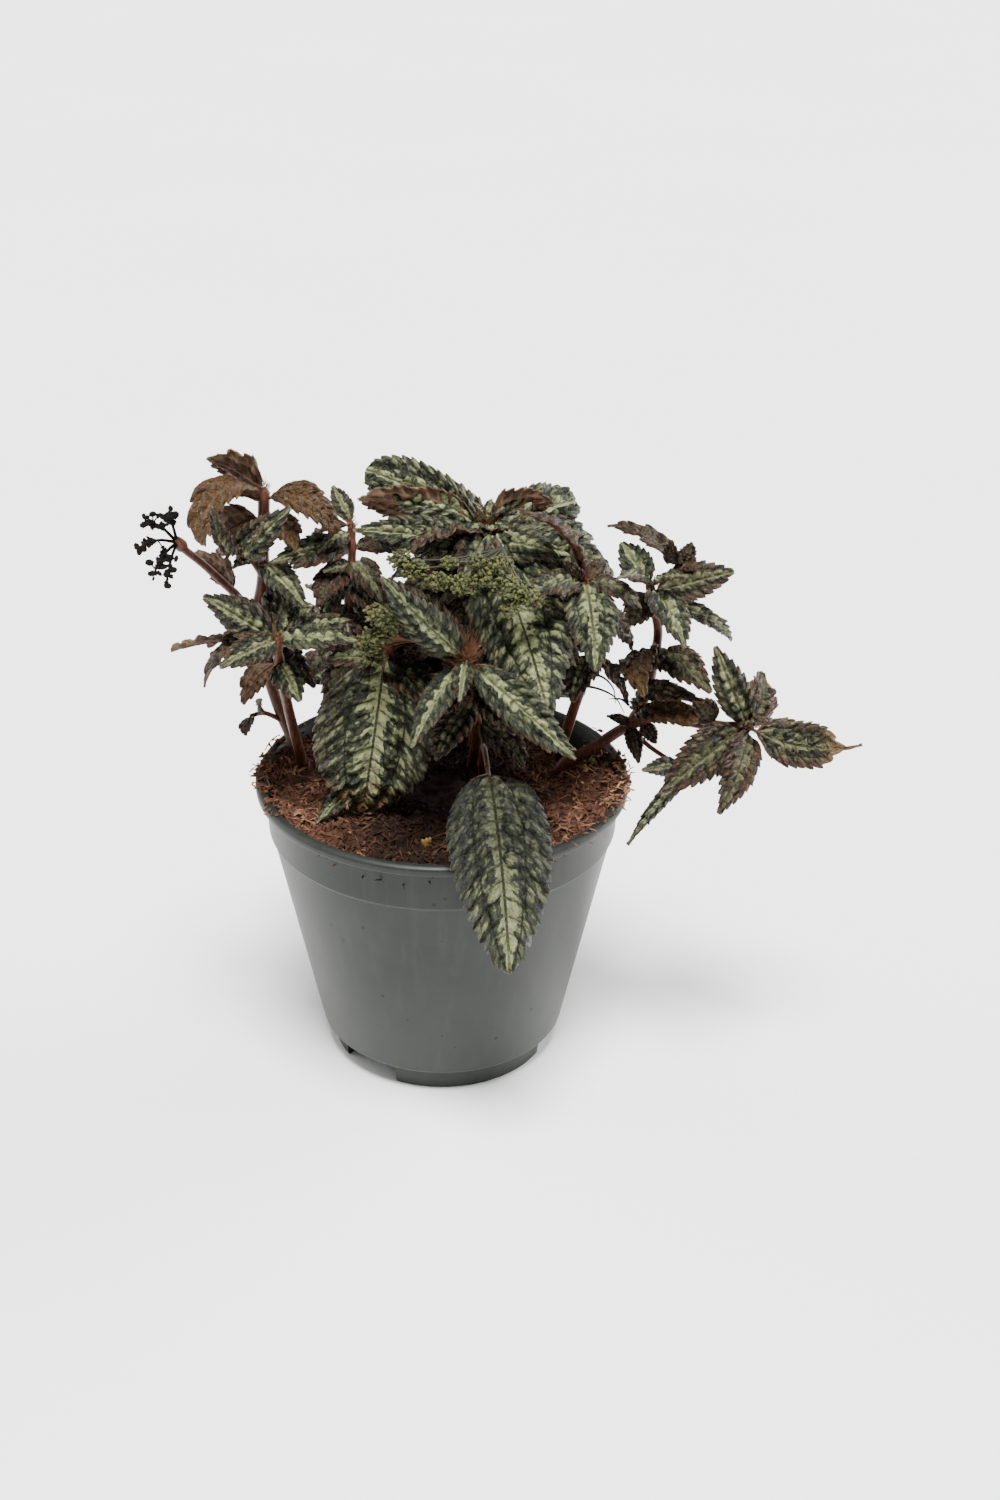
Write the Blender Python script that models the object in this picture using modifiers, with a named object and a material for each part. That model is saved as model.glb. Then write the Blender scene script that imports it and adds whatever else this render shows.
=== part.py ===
"""Potted Pilea spruceana: a 12 cm grower pot, its soil, the leafy stems, their flower heads
and one spent bloom. Metres, +Z up. The origin is the centre of the pot's foot, on the surface
that the pot stands on, and the fullest side of the plant faces -Y."""

import math
import random

import bmesh
import bpy
from mathutils import Matrix, Vector, noise

MM = 0.001
GAP = 0.35
WELD = 0.000001

# Pot, in mm
POT_HEIGHT = 98.0
LIP_RADIUS = 60.0
LIP_DEPTH = 3.2
BAND_RADIUS = 56.8
BAND_BOTTOM = 81.0
BAND_STEP = 1.6
BASE_RADIUS = 40.4
BASE_HEIGHT = 8.7
WALL = 1.2
FOOT_RADIUS = 36.4
FOOT_LEAN = 1.0
FOOT_NOTCHES = 3
NOTCH_ANGLE = 35.0
NOTCH_HEIGHT = 6.2
FIRST_NOTCH = -132.0
CHANNEL_RADIUS = 29.0
POT_STEPS = 32

# Soil, in mm
SOIL_LEVEL = 91.0
SOIL_SIDE_RISE = 5.0
SOIL_DIP = 8.0
SOIL_DIP_AT = (46.0, 30.0)
SOIL_DIP_SPREAD = 14.0
SOIL_LUMPS = 1.6
SOIL_LUMP_SIZE = 9.0
SOIL_EDGE = 4.0
SOIL_RINGS = 5
SOIL_STEPS = 32
ROOT_DEPTH = 12.0
ROOT_STANDS = 2.0
HOLE_TOP = 105.0
HOLE_SIDES = 8

# Leaves, in mm. A petiole is a strip of the blade, sunk into its stem.
BLADE_THICKNESS = 0.7
BLADE_RISE = 0.55
BLADE_FALL = 0.95
TIP_HALF_WIDTH = 0.4
PETIOLE_WIDTH = 1.8
PETIOLE_SHARE = 0.08
SHORTEST_PETIOLE = 1.5
TOOTH_SPACING = 15.0
FEWEST_TEETH = 2
MOST_TEETH = 5
TOOTH = 0.15
TOOTH_REACH = 0.4
FOLD = 0.30
CUP = 0.22
NARROW = 10.5
BUD_SHARE = 1.43

# The stems' routes, rooted in the soil or growing from a stem of the same shoot: the radius at
# the foot and at the tip, then the points in mm.
# A leaf: its stem, how far up it grows, its tip, its width, how many degrees it is turned about
# its own length from facing up, and its arch as a share of its length.
SHOOTS = {
    "shoot_left_tall": {
        "stems": {
            "main": (
                2.1,
                1.6,
                [(-47, 17, 96), (-54, 21, 112), (-59, 16, 141), (-56, 12, 161), (-54, 8, 190)],
            ),
            "side": (1.2, 0.9, [(-56, 12, 161), (-58, 4, 169), (-61, -4, 175)]),
            "flower_stalk": (1.5, 1.2, [(-58, 15, 144), (-64, 8, 156), (-72, 2, 168), (-78, -3, 176)]),
            "low": (0.9, 0.7, [(-52, 20, 106), (-58, 18, 110), (-62, 14, 111)]),
        },
        "leaves": [
            ("main", 1.00, (-71, 10, 200), 15, 85, 0.12),
            ("main", 1.00, (-72, -8, 179), 20, 5, 0.36),
            ("main", 0.98, (-32, 2, 179), 14, 20, 0.30),
            ("main", 0.93, (-44, -2, 175), 12, 0, 0.20),
            ("main", 0.93, (-66, -8, 179), 16, 90, 0.22),
            ("main", 0.80, (-41, -13, 161), 10, 25, 0.08),
            ("main", 0.80, (-63, -6, 171), 7, -15, 0.10),
            ("side", 1.00, (-66, -26, 198), 7, -175, 0.08),
            ("side", 1.00, (-44, -18, 195), 11, 105, 0.14),
            ("side", 0.95, (-65, -16, 185), 6, 165, 0.05),
            ("side", 0.95, (-52, -20, 191), 5, 160, 0.05),
            ("flower_stalk", 0.35, (-77, 14, 168), 12, 80, 0.10),
            ("low", 1.00, (-63, 4, 109), 6, 25, 0.10),
            ("low", 0.50, (-58, 10, 119), 5, 105, 0.10),
        ],
    },
    "shoot_left_front": {
        "stems": {
            "main": (1.8, 1.4, [(-46, 11, 97), (-49, 6, 117), (-50, -6, 137), (-50, -15, 151)]),
        },
        "leaves": [
            ("main", 1.00, (-71, -18, 167), 12, -60, 0.06),
            ("main", 1.00, (-65, -36, 152), 11, -40, 0.10),
            ("main", 0.98, (-25, -28, 157), 11, 25, 0.05),
            ("main", 1.00, (-40, 4, 154), 9, 20, 0.06),
            ("main", 1.00, (-47, -2, 160), 6, 50, 0.05),
            ("main", 0.95, (-82, -16, 148), 8, 20, 0.08),
            ("main", 0.93, (-72, -22, 139), 11, 5, 0.28),
            ("main", 0.95, (-71, 4, 157), 13, -35, 0.10),
            ("main", 0.95, (-28, -8, 155), 11, 30, 0.08),
            ("main", 0.75, (-62, -8, 126), 11, 60, 0.16),
            ("main", 0.75, (-43, -22, 134), 11, 20, 0.14),
        ],
    },
    "shoot_left_inner": {
        "stems": {
            "main": (
                1.8,
                1.2,
                [(-23, 22, 96), (-26, 16, 123), (-29, 8, 154), (-28, 10, 167), (-28, 14, 177)],
            ),
        },
        "leaves": [
            ("main", 0.85, (-45, -4, 170), 10, -20, 0.06),
            ("main", 1.00, (-42, 14, 172), 8, 10, 0.10),
            ("main", 1.00, (-34, 22, 187), 7, -20, 0.05),
            ("main", 0.95, (-37, 2, 174), 7, -25, 0.05),
            ("main", 0.72, (-36, -2, 168), 7, -30, 0.08),
            ("main", 0.68, (-38, -6, 158), 12, -5, 0.20),
            ("main", 0.62, (-37, -1, 149), 10, 10, 0.10),
            ("main", 0.72, (-18, -8, 160), 10, 15, 0.22),
            ("main", 0.55, (-16, 4, 143), 11, 30, 0.15),
            ("main", 0.50, (-38, 2, 138), 11, -20, 0.15),
        ],
    },
    "shoot_old_left": {
        "stems": {
            "main": (1.9, 1.5, [(-15, 6, 95), (-15, 0, 124), (-17, -8, 147)]),
        },
        "leaves": [
            ("main", 1.00, (-25, -18, 93), 39, -40, 0.09),
            ("main", 0.10, (-39, -26, 94), 12, -25, 0.08),
        ],
    },
    "shoot_centre": {
        "stems": {
            "main": (2.0, 1.4, [(10, 16, 92), (11, 4, 109), (9, -14, 134), (7, -27, 151)]),
        },
        "leaves": [
            ("main", 1.00, (-17, -42, 183), 12.5, -115, 0.05),
            ("main", 1.00, (5, -44, 145), 7, -5, 0.06),
            ("main", 0.97, (-9, -52, 134), 10, -10, 0.08),
            ("main", 0.97, (39, -48, 128), 13, 40, 0.06),
            ("main", 0.90, (33, -28, 120), 11, 35, 0.04),
            ("main", 0.95, (-16, -26, 176), 14, -75, 0.08),
            ("main", 0.60, (-2, -30, 118), 12, -10, 0.08),
        ],
    },
    "shoot_crown": {
        "stems": {
            "main": (2.2, 1.4, [(7, 30, 94), (9, 22, 120), (12, 8, 154), (13, 6, 169), (14, 10, 178)]),
        },
        "leaves": [
            ("main", 0.88, (32, -31, 132), 32, 10, 0.11),
            ("main", 0.86, (41, -12, 141), 20, 25, 0.10),
            ("main", 0.97, (-25, 8, 200), 19, -45, 0.10),
            ("main", 0.93, (-25, -8, 194), 17, 70, 0.08),
            ("main", 0.80, (-26, -18, 188), 14, -55, 0.08),
            ("main", 0.85, (-9, -20, 182), 14, 15, 0.12),
            ("main", 1.00, (34, 14, 185), 16, -75, 0.14),
            ("main", 1.00, (6, 18, 182), 10, 55, 0.12),
            ("main", 0.97, (42, 30, 179), 17, 50, 0.12),
            ("main", 0.90, (34, -1, 174), 15, 50, 0.10),
            ("main", 0.93, (48, 28, 167), 13, 55, 0.14),
            ("main", 0.85, (54, 18, 159), 15, 50, 0.20),
            ("main", 1.00, (16, 0, 188), 8, 170, 0.06),
            ("main", 1.00, (10, -2, 187), 7, -175, 0.06),
            ("main", 1.00, (20, -4, 186), 6, -135, 0.06),
            ("main", 0.72, (-14, -2, 157), 17, -35, 0.05),
            ("main", 0.55, (-7, -4, 140), 18, -35, 0.14),
            ("main", 0.55, (33, 6, 124), 20, 45, 0.14),
        ],
    },
    "shoot_front": {
        "stems": {
            "main": (1.6, 1.2, [(13, 6, 92), (13, -4, 109), (14, -22, 111)]),
        },
        "leaves": [
            ("main", 0.98, (20, -69, 68), 33, 5, 0.30),
        ],
    },
    "shoot_right_mid": {
        "stems": {
            "main": (1.9, 1.4, [(39, 24, 92), (43, 14, 115), (47, 6, 136), (44, 0, 155), (43, -4, 166)]),
        },
        "leaves": [
            ("main", 1.00, (45, -34, 150), 17, -5, 0.10),
            ("main", 1.00, (60, -13, 161), 9, 15, 0.12),
            ("main", 1.00, (23, -8, 190), 11, 0, 0.16),
            ("main", 0.97, (23, -27, 171), 11, -25, 0.06),
            ("main", 0.97, (50, 8, 168), 6, 45, 0.05),
            ("main", 0.97, (37, -10, 175), 5, -120, 0.05),
            ("main", 0.50, (59, 2, 121), 8, 0, 0.10),
            ("main", 0.75, (60, 9, 137), 11, 45, 0.14),
        ],
    },
    "shoot_right": {
        "stems": {
            "main": (
                2.2,
                1.5,
                [(39, 12, 94), (49, 14, 99), (60, 14, 107), (70, 8, 114), (83, -2, 116), (96, -8, 118)],
            ),
            "upper": (
                1.7,
                1.3,
                [(60, 14, 107), (65, 13, 117), (68, 10, 140), (66, 6, 152), (64, 4, 161)],
            ),
            "top": (1.2, 1.0, [(66, 6, 152), (70, 10, 159), (73, 10, 165)]),
            "twig": (0.9, 0.7, [(61, 14, 107), (67, 8, 103), (76, 0, 100)]),
        },
        "leaves": [
            ("main", 0.42, (63, 0, 101), 6, 10, 0.10),
            ("main", 0.42, (53, 10, 113), 4, -55, 0.15),
            ("main", 0.48, (69, 6, 105), 6, 25, 0.10),
            ("main", 0.85, (79, 0, 124), 10, -35, 0.08),
            ("main", 0.93, (59, -14, 79), 6, -40, 0.10),
            ("main", 0.95, (100, -20, 125), 7, 5, 0.05),
            ("main", 0.98, (67, -30, 107), 16, -35, 0.08),
            ("main", 1.00, (84, -6, 145), 12, -85, 0.05),
            ("main", 1.00, (101, 6, 131), 15, 55, 0.10),
            ("main", 1.00, (130, -16, 118), 14, 15, -0.05),
            ("main", 1.00, (84, -36, 103), 13, -40, 0.07),
            ("twig", 1.00, (63, -10, 104), 7, -55, 0.08),
            ("upper", 0.12, (80, -12, 121), 14, -35, 0.10),
            ("upper", 0.15, (81, -10, 128), 10, 40, 0.26),
            ("upper", 0.35, (56, -6, 136), 10, 45, 0.20),
            ("upper", 0.42, (82, -16, 134), 14, 20, 0.16),
            ("upper", 0.45, (62, -12, 131), 14, 35, 0.22),
            ("upper", 0.90, (93, 20, 135), 6, 65, 0.16),
            ("upper", 0.92, (90, 6, 165), 13, 55, 0.06),
            ("upper", 0.95, (58, -4, 151), 12, -15, 0.10),
            ("upper", 0.98, (72, -24, 153), 13, -5, 0.07),
            ("upper", 1.00, (55, 10, 173), 11, -45, 0.05),
            ("upper", 1.00, (52, -16, 172), 6, -25, 0.06),
            ("upper", 1.00, (73, -10, 170), 6, 25, 0.06),
            ("top", 1.00, (51, 14, 177), 9, -15, 0.16),
            ("top", 1.00, (70, 4, 176), 7, 175, 0.12),
            ("top", 1.00, (77, 10, 173), 7, 105, 0.12),
            ("top", 1.00, (80, 4, 166), 6, 15, 0.10),
        ],
    },
}

# The shoots behind carry crossed pairs of leaves by rule: the route, the number of pairs, the
# heading of the lowest pair in degrees, and the longest leaf in mm.
BACK_SHOOTS = {
    "shoot_back_left": ([(-28, 40, 92), (-36, 44, 115), (-40, 46, 138)], 4, 160, 27),
    "shoot_back_mid": ([(-2, 44, 91), (-2, 50, 118), (-4, 52, 146)], 4, 80, 32),
    "shoot_back_right": ([(28, 40, 88), (34, 48, 104), (38, 52, 120)], 3, 45, 26),
}
BACK_STEM_RADII = (1.8, 1.2)
BACK_LOWEST = 0.35
BACK_YOUNGEST_SHARE = 0.55
BACK_CLIMB = (-12, 38)
BACK_JITTER = 9
BACK_SLIMNESS = 0.5
BACK_ARCH = 0.13

# Flower heads: the stalk's route, then the lobes as a centre and a radius, in mm
FLOWERS = {
    "flower_head_left": (
        [(-26, 6.5, 146), (-22, -8, 150)],
        [((-19, -22, 156), 3.0), ((-19, -25, 164), 3.2)],
    ),
    "flower_head_wide": (
        [(15.6, 1.0, 174), (18, -10, 179)],
        [
            ((19, -28, 174), 3.2),
            ((13, -26, 176), 3.6),
            ((6, -28, 175), 3.0),
            ((-1, -28, 176), 3.2),
            ((-8, -24, 178), 3.0),
        ],
    ),
}
FLOWER_STALK = 0.7
FLOWER_BUD = 1.3
BUDS_A_LOBE = 6
BUD_SCATTER = 0.3

# Spent bloom: its branches spread from the end of the flower stalk, in mm
SPENT_ROOT = (-79.6, -3.8, 178.4)
SPENT_TIPS = [(-88, -8, 187), (-81, -10, 190), (-90, -12, 180), (-86, -14, 172), (-82, -15, 170)]
SPENT_RADIUS = 0.6
SPENT_KNOB = 1.3
SPENT_ARCH = 1.5

STEM_POINTS = 7
SEED = 7

COLOURS = {
    "pot": ("6E7B76", 0.62),
    "soil": ("4A2418", 0.95),
    "leaf": ("3C4A38", 0.50),
    "flower": ("7C8136", 0.80),
    "spent": ("1B1714", 0.90),
}


def linear(hex_colour):
    """sRGB hex to the linear values that a Principled shader takes."""
    channels = [int(hex_colour[i : i + 2], 16) / 255 for i in (0, 2, 4)]
    return [c / 12.92 if c <= 0.04045 else ((c + 0.055) / 1.055) ** 2.4 for c in channels]


def material(name):
    hex_colour, roughness = COLOURS[name]
    made = bpy.data.materials.new(name)
    made.use_nodes = True
    shader = made.node_tree.nodes["Principled BSDF"]
    shader.inputs["Base Color"].default_value = (*linear(hex_colour), 1)
    shader.inputs["Roughness"].default_value = roughness
    shader.inputs["Metallic"].default_value = 0
    return made


def new_collection(name):
    made = bpy.data.collections.new(name)
    bpy.context.scene.collection.children.link(made)
    return made


def move_to(obj, collection):
    for old in list(obj.users_collection):
        old.objects.unlink(obj)
    collection.objects.link(obj)


def as_mesh(obj, name, collection):
    """The evaluated object as a plain mesh object in its place, with loose caps welded."""
    bpy.context.view_layer.update()
    evaluated = obj.evaluated_get(bpy.context.evaluated_depsgraph_get())
    mesh = bpy.data.meshes.new_from_object(evaluated)
    work = bmesh.new()
    work.from_mesh(mesh)
    bmesh.ops.remove_doubles(work, verts=work.verts, dist=WELD)
    work.to_mesh(mesh)
    work.free()
    place = obj.matrix_world.copy()
    bpy.data.objects.remove(obj)
    mesh.name = name
    made = bpy.data.objects.new(name, mesh)
    made.matrix_world = place
    collection.objects.link(made)
    return made


def finish(obj, colour, angle=40):
    """One material, and smooth shading up to the given angle."""
    obj.data.materials.clear()
    obj.data.materials.append(COLOUR_MATERIALS[colour])
    obj.data.shade_smooth()
    obj.data.set_sharp_from_angle(angle=math.radians(angle))


def turned(name, profile, steps, collection):
    """A profile of (radius, height) in mm, turned about Z."""
    mesh = bpy.data.meshes.new(name)
    points = [(r * MM, 0, z * MM) for r, z in profile]
    edges = [(i, i + 1) for i in range(len(points) - 1)]
    mesh.from_pydata(points, edges, [])
    obj = bpy.data.objects.new(name, mesh)
    collection.objects.link(obj)
    screw = obj.modifiers.new("Turn", "SCREW")
    screw.steps = steps
    screw.render_steps = steps
    screw.use_merge_vertices = True
    screw.merge_threshold = WELD
    return as_mesh(obj, name, collection)


def cutter_cylinder(name, centre, bottom, top, radius, sides):
    """A hidden upright cylinder, in mm, for a Boolean."""
    bpy.ops.mesh.primitive_cylinder_add(
        vertices=sides,
        radius=radius * MM,
        depth=(top - bottom) * MM,
        location=Vector((centre[0], centre[1], (top + bottom) / 2)) * MM,
    )
    return as_cutter(bpy.context.object, name)


def as_cutter(obj, name):
    obj.name = name
    obj.hide_render = True
    obj.display_type = "WIRE"
    move_to(obj, CUTTERS)
    return obj


def cut(obj, cutters, name):
    """Takes a whole collection of cutters from the object."""
    group = bpy.data.collections.new(name)
    CUTTERS.children.link(group)
    for cutter in cutters:
        move_to(cutter, group)
    boolean = obj.modifiers.new(name, "BOOLEAN")
    boolean.operation = "DIFFERENCE"
    boolean.solver = "EXACT"
    boolean.operand_type = "COLLECTION"
    boolean.collection = group


def wall_radius(z):
    """Outer radius of the tapered wall at a height, in mm."""
    share = (z - BASE_HEIGHT) / (BAND_BOTTOM - BASE_HEIGHT)
    return BASE_RADIUS + share * (BAND_RADIUS - BAND_STEP - BASE_RADIUS)


def inner_radius(z):
    return wall_radius(z) - WALL


def make_pot():
    """A thin plastic pot: rolled lip, stepped band, tapered wall, and a foot with drain notches."""
    lip_bottom = POT_HEIGHT - LIP_DEPTH
    profile = [
        (0, WALL),
        (FOOT_RADIUS - WALL, WALL),
        (FOOT_RADIUS + FOOT_LEAN - WALL, BASE_HEIGHT - 0.6),
        (inner_radius(BASE_HEIGHT + WALL), BASE_HEIGHT + WALL),
        (inner_radius(BAND_BOTTOM - 2.0), BAND_BOTTOM - 2.0),
        (BAND_RADIUS - WALL, lip_bottom),
        (LIP_RADIUS - 3.0, POT_HEIGHT - 0.5),
        (LIP_RADIUS - 1.6, POT_HEIGHT),
        (LIP_RADIUS - 0.4, POT_HEIGHT - 0.5),
        (LIP_RADIUS, lip_bottom + 1.0),
        (LIP_RADIUS - 0.4, lip_bottom),
        (BAND_RADIUS, lip_bottom - 0.6),
        (wall_radius(BAND_BOTTOM) + 0.9, BAND_BOTTOM + 0.4),
        (wall_radius(BAND_BOTTOM), BAND_BOTTOM - 0.6),
        (BASE_RADIUS, BASE_HEIGHT),
        (FOOT_RADIUS + FOOT_LEAN, BASE_HEIGHT - 1.4),
        (FOOT_RADIUS, 0),
        (0, 0),
    ]
    pot = turned("pot", profile, POT_STEPS, PARTS)
    cutters = []
    inner = CHANNEL_RADIUS + GAP
    middle = (inner + BASE_RADIUS) / 2
    width = 2 * FOOT_RADIUS * math.sin(math.radians(NOTCH_ANGLE / 2))
    for i in range(FOOT_NOTCHES):
        heading = math.radians(FIRST_NOTCH + i * 360 / FOOT_NOTCHES)
        bpy.ops.mesh.primitive_cube_add(
            size=1,
            location=Vector((middle * math.cos(heading), middle * math.sin(heading), 0)) * MM,
            rotation=(0, 0, heading),
            scale=Vector((BASE_RADIUS - inner, width, 2 * NOTCH_HEIGHT)) * MM,
        )
        cutters.append(as_cutter(bpy.context.object, f"notch_{i}"))
    cut(pot, cutters, "drain_notches")
    finish(pot, "pot")


def soil_height(x, y):
    """Height of the soil, in mm: higher at both sides, a dip at the back right, and lumps."""
    side = SOIL_SIDE_RISE * (abs(x) / BAND_RADIUS) ** 2
    away = math.hypot(x - SOIL_DIP_AT[0], y - SOIL_DIP_AT[1]) / SOIL_DIP_SPREAD
    dip = SOIL_DIP * math.exp(-away * away)
    lump = noise.noise(Vector((x, y, 0)) / SOIL_LUMP_SIZE) * SOIL_LUMPS
    return SOIL_LEVEL + side - dip + lump


def make_soil(roots):
    """Solid soil that fills the pot, its top raised by formula, with a plain hole for each stem."""
    bottom = WALL + GAP
    shelf = BASE_HEIGHT + 2 * WALL
    rim = inner_radius(BAND_BOTTOM) - GAP
    top_rings = [(rim * i / SOIL_RINGS, SOIL_LEVEL) for i in range(SOIL_RINGS + 1)]
    wall = [
        (inner_radius(BAND_BOTTOM - SOIL_EDGE) - GAP, BAND_BOTTOM - SOIL_EDGE),
        (inner_radius(shelf) - GAP, shelf),
        (CHANNEL_RADIUS, shelf),
        (CHANNEL_RADIUS, bottom),
        (0, bottom),
    ]
    soil = turned("soil", top_rings + wall, SOIL_STEPS, PARTS)
    for vertex in soil.data.vertices:
        x, y, z = vertex.co / MM
        if z > SOIL_LEVEL - 1:
            vertex.co.z = soil_height(x, y) * MM
    holes = []
    for i, (x, y, radius) in enumerate(roots):
        bottom = soil_height(x, y) - ROOT_DEPTH - GAP
        holes.append(cutter_cylinder(f"hole_{i}", (x, y), bottom, HOLE_TOP, radius + GAP, HOLE_SIDES))
    cut(soil, holes, "stem_holes")
    finish(soil, "soil")


def smooth_points(points, count):
    """Points of a Catmull-Rom curve through the given ones."""
    known = [Vector(p) for p in points]
    known = [2 * known[0] - known[1], *known, 2 * known[-1] - known[-2]]
    spans = len(points) - 1
    result = []
    for step in range(count + 1):
        along = step / count * spans
        span = min(int(along), spans - 1)
        t = along - span
        a, b, c, d = known[span : span + 4]
        slope = c - a
        bend = 2 * a - 5 * b + 4 * c - d
        rest = 3 * b - 3 * c + d - a
        result.append((2 * b + slope * t + bend * t * t + rest * t**3) / 2)
    return result


def tube(name, points, radii, collection):
    """A tapering six-sided tube along points in mm, as a closed mesh, with its radii at both ends."""
    curve = bpy.data.curves.new(name, "CURVE")
    curve.dimensions = "3D"
    curve.bevel_depth = MM
    curve.bevel_resolution = 1
    curve.use_fill_caps = True
    spline = curve.splines.new("POLY")
    spline.points.add(len(points) - 1)
    for i, (point, place) in enumerate(zip(points, spline.points)):
        place.co = (*(Vector(point) * MM), 1)
        place.radius = radii[0] + (radii[1] - radii[0]) * i / (len(points) - 1)
    obj = bpy.data.objects.new(name, curve)
    collection.objects.link(obj)
    return as_mesh(obj, name, collection)


def ball(name, centre, radius, collection):
    bpy.ops.mesh.primitive_ico_sphere_add(
        subdivisions=1,
        radius=radius * MM,
        location=Vector(centre) * MM,
    )
    obj = bpy.context.object
    obj.name = name
    move_to(obj, collection)
    return obj


def tiny_bud(centre, way, radius):
    """An eight-sided bud that points the given way."""
    bpy.ops.mesh.primitive_uv_sphere_add(
        segments=4,
        ring_count=2,
        radius=radius * MM,
        location=Vector(centre) * MM,
        rotation=way.to_track_quat("Z", "Y").to_euler(),
    )
    obj = bpy.context.object
    move_to(obj, PIECES)
    return obj


def blade_width(share):
    """Width of a blade along its length, as a share of its widest: broad below the middle, sharp
    at the tip."""
    widest = BLADE_RISE / (BLADE_RISE + BLADE_FALL)
    most = widest**BLADE_RISE * (1 - widest) ** BLADE_FALL
    return share**BLADE_RISE * (1 - share) ** BLADE_FALL / most


def teeth_of(length):
    """How many teeth one edge of a blade carries: larger and fewer than on the plant."""
    return min(max(math.ceil(length / TOOTH_SPACING), FEWEST_TEETH), MOST_TEETH)


def leaf(base, tip, width, turn, arch, collection):
    """A toothed, folded and arched blade on its petiole, in mm, from a grid primitive."""
    base, tip = Vector(base), Vector(tip)
    chord = tip - base
    length = chord.length
    along = chord.normalized()
    up = Vector((0, 0, 1))
    up = (up - up.dot(along) * along).normalized()
    face = Matrix.Rotation(math.radians(turn), 3, along) @ up
    teeth = teeth_of(length)
    petiole = max(PETIOLE_SHARE, SHORTEST_PETIOLE / length)
    halves = 2 if width > NARROW else 1
    bpy.ops.mesh.primitive_grid_add(x_subdivisions=halves, y_subdivisions=2 * teeth + 1, size=2)
    obj = bpy.context.object
    move_to(obj, collection)
    for vertex in obj.data.vertices:
        side = vertex.co.x
        row = round((vertex.co.y + 1) / 2 * (2 * teeth + 1))
        share = petiole * row if row < 2 else petiole + (1 - petiole) * (row - 1) / (2 * teeth)
        half = PETIOLE_WIDTH / 2
        lift = 0.0
        if row >= 2:
            blade = (row - 1) / (2 * teeth)
            half = max(width / 2 * blade_width(blade), TIP_HALF_WIDTH)
            lift = (FOLD * abs(side) - CUP * side * side) * (halves - 1)
            if side and row < 2 * teeth + 1:
                points_out = row % 2 == 1
                half *= 1 + TOOTH / 2 if points_out else 1 - TOOTH
                share += (1 - petiole) / (2 * teeth) * TOOTH_REACH * points_out
        slope = (chord + face * (4 * arch * length * (1 - 2 * share))).normalized()
        normal = (face - face.dot(slope) * slope).normalized()
        across = slope.cross(normal)
        centre = base + chord * share + face * (4 * arch * length * share * (1 - share))
        vertex.co = (centre + across * (half * side) + normal * (half * lift)) * MM
    work = bmesh.new()
    work.from_mesh(obj.data)
    bmesh.ops.triangulate(work, faces=work.faces)
    work.to_mesh(obj.data)
    work.free()
    solid = obj.modifiers.new("Thickness", "SOLIDIFY")
    solid.thickness = BLADE_THICKNESS * MM
    solid.offset = 0
    return as_mesh(obj, "leaf", collection)


def fuse(name, pieces, colour):
    """One body from pieces that run into each other, by a Boolean union on their collection."""
    body = pieces[0]
    move_to(body, PARTS)
    union = body.modifiers.new("Fuse", "BOOLEAN")
    union.operation = "UNION"
    union.solver = "EXACT"
    union.operand_type = "COLLECTION"
    union.collection = PIECES
    fused = as_mesh(body, name, PARTS)
    for piece in list(PIECES.objects):
        bpy.data.objects.remove(piece)
    finish(fused, colour, 60)
    return fused


def rooted(points):
    """The route with its foot upright in the soil, so that it stands in a plain upright hole."""
    x, y, _ = points[0]
    ground = soil_height(x, y)
    foot = (x, y, ground - ROOT_DEPTH)
    return [foot, *smooth_points([(x, y, ground + ROOT_STANDS), *points[1:]], STEM_POINTS)]


def make_shoot(name, stems, leaves):
    """Stems, leaves and end buds of one shoot, fused. Returns where its foot stands in the soil."""
    routes = {}
    pieces = []
    for stem, (foot_radius, tip_radius, points) in stems.items():
        routes[stem] = smooth_points(points, STEM_POINTS)
        line = rooted(points) if stem == "main" else routes[stem]
        pieces.append(tube(stem, line, (foot_radius, tip_radius), PIECES))
        pieces.append(ball("bud", routes[stem][-1], BUD_SHARE * tip_radius, PIECES))
    for stem, height, tip, width, turn, arch in leaves:
        base = smooth_points(stems[stem][2], 100)[round(height * 100)]
        pieces.append(leaf(base, tip, width, turn, arch, PIECES))
    fuse(name, pieces, "leaf")
    foot_radius, _, points = stems["main"]
    return points[0][0], points[0][1], foot_radius


def crossed_pairs(points, pairs, heading, longest, draw):
    """Leaves in pairs, each pair a quarter turn from the one below, shorter and steeper upwards."""
    leaves = []
    for i in range(pairs):
        up = i / (pairs - 1)
        height = BACK_LOWEST + (1 - BACK_LOWEST) * up
        base = smooth_points(points, 100)[round(height * 100)]
        length = longest * (1 - (1 - BACK_YOUNGEST_SHARE) * up)
        for half in (0, 180):
            turn = math.radians(heading + 90 * i + half + draw.uniform(-BACK_JITTER, BACK_JITTER))
            climb = math.radians(BACK_CLIMB[0] + (BACK_CLIMB[1] - BACK_CLIMB[0]) * up)
            level = math.cos(climb)
            way = Vector((math.cos(turn) * level, math.sin(turn) * level, math.sin(climb)))
            tip = base + way * length
            leaves.append(("main", height, tip, length * BACK_SLIMNESS, 0, BACK_ARCH))
    return leaves


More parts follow.
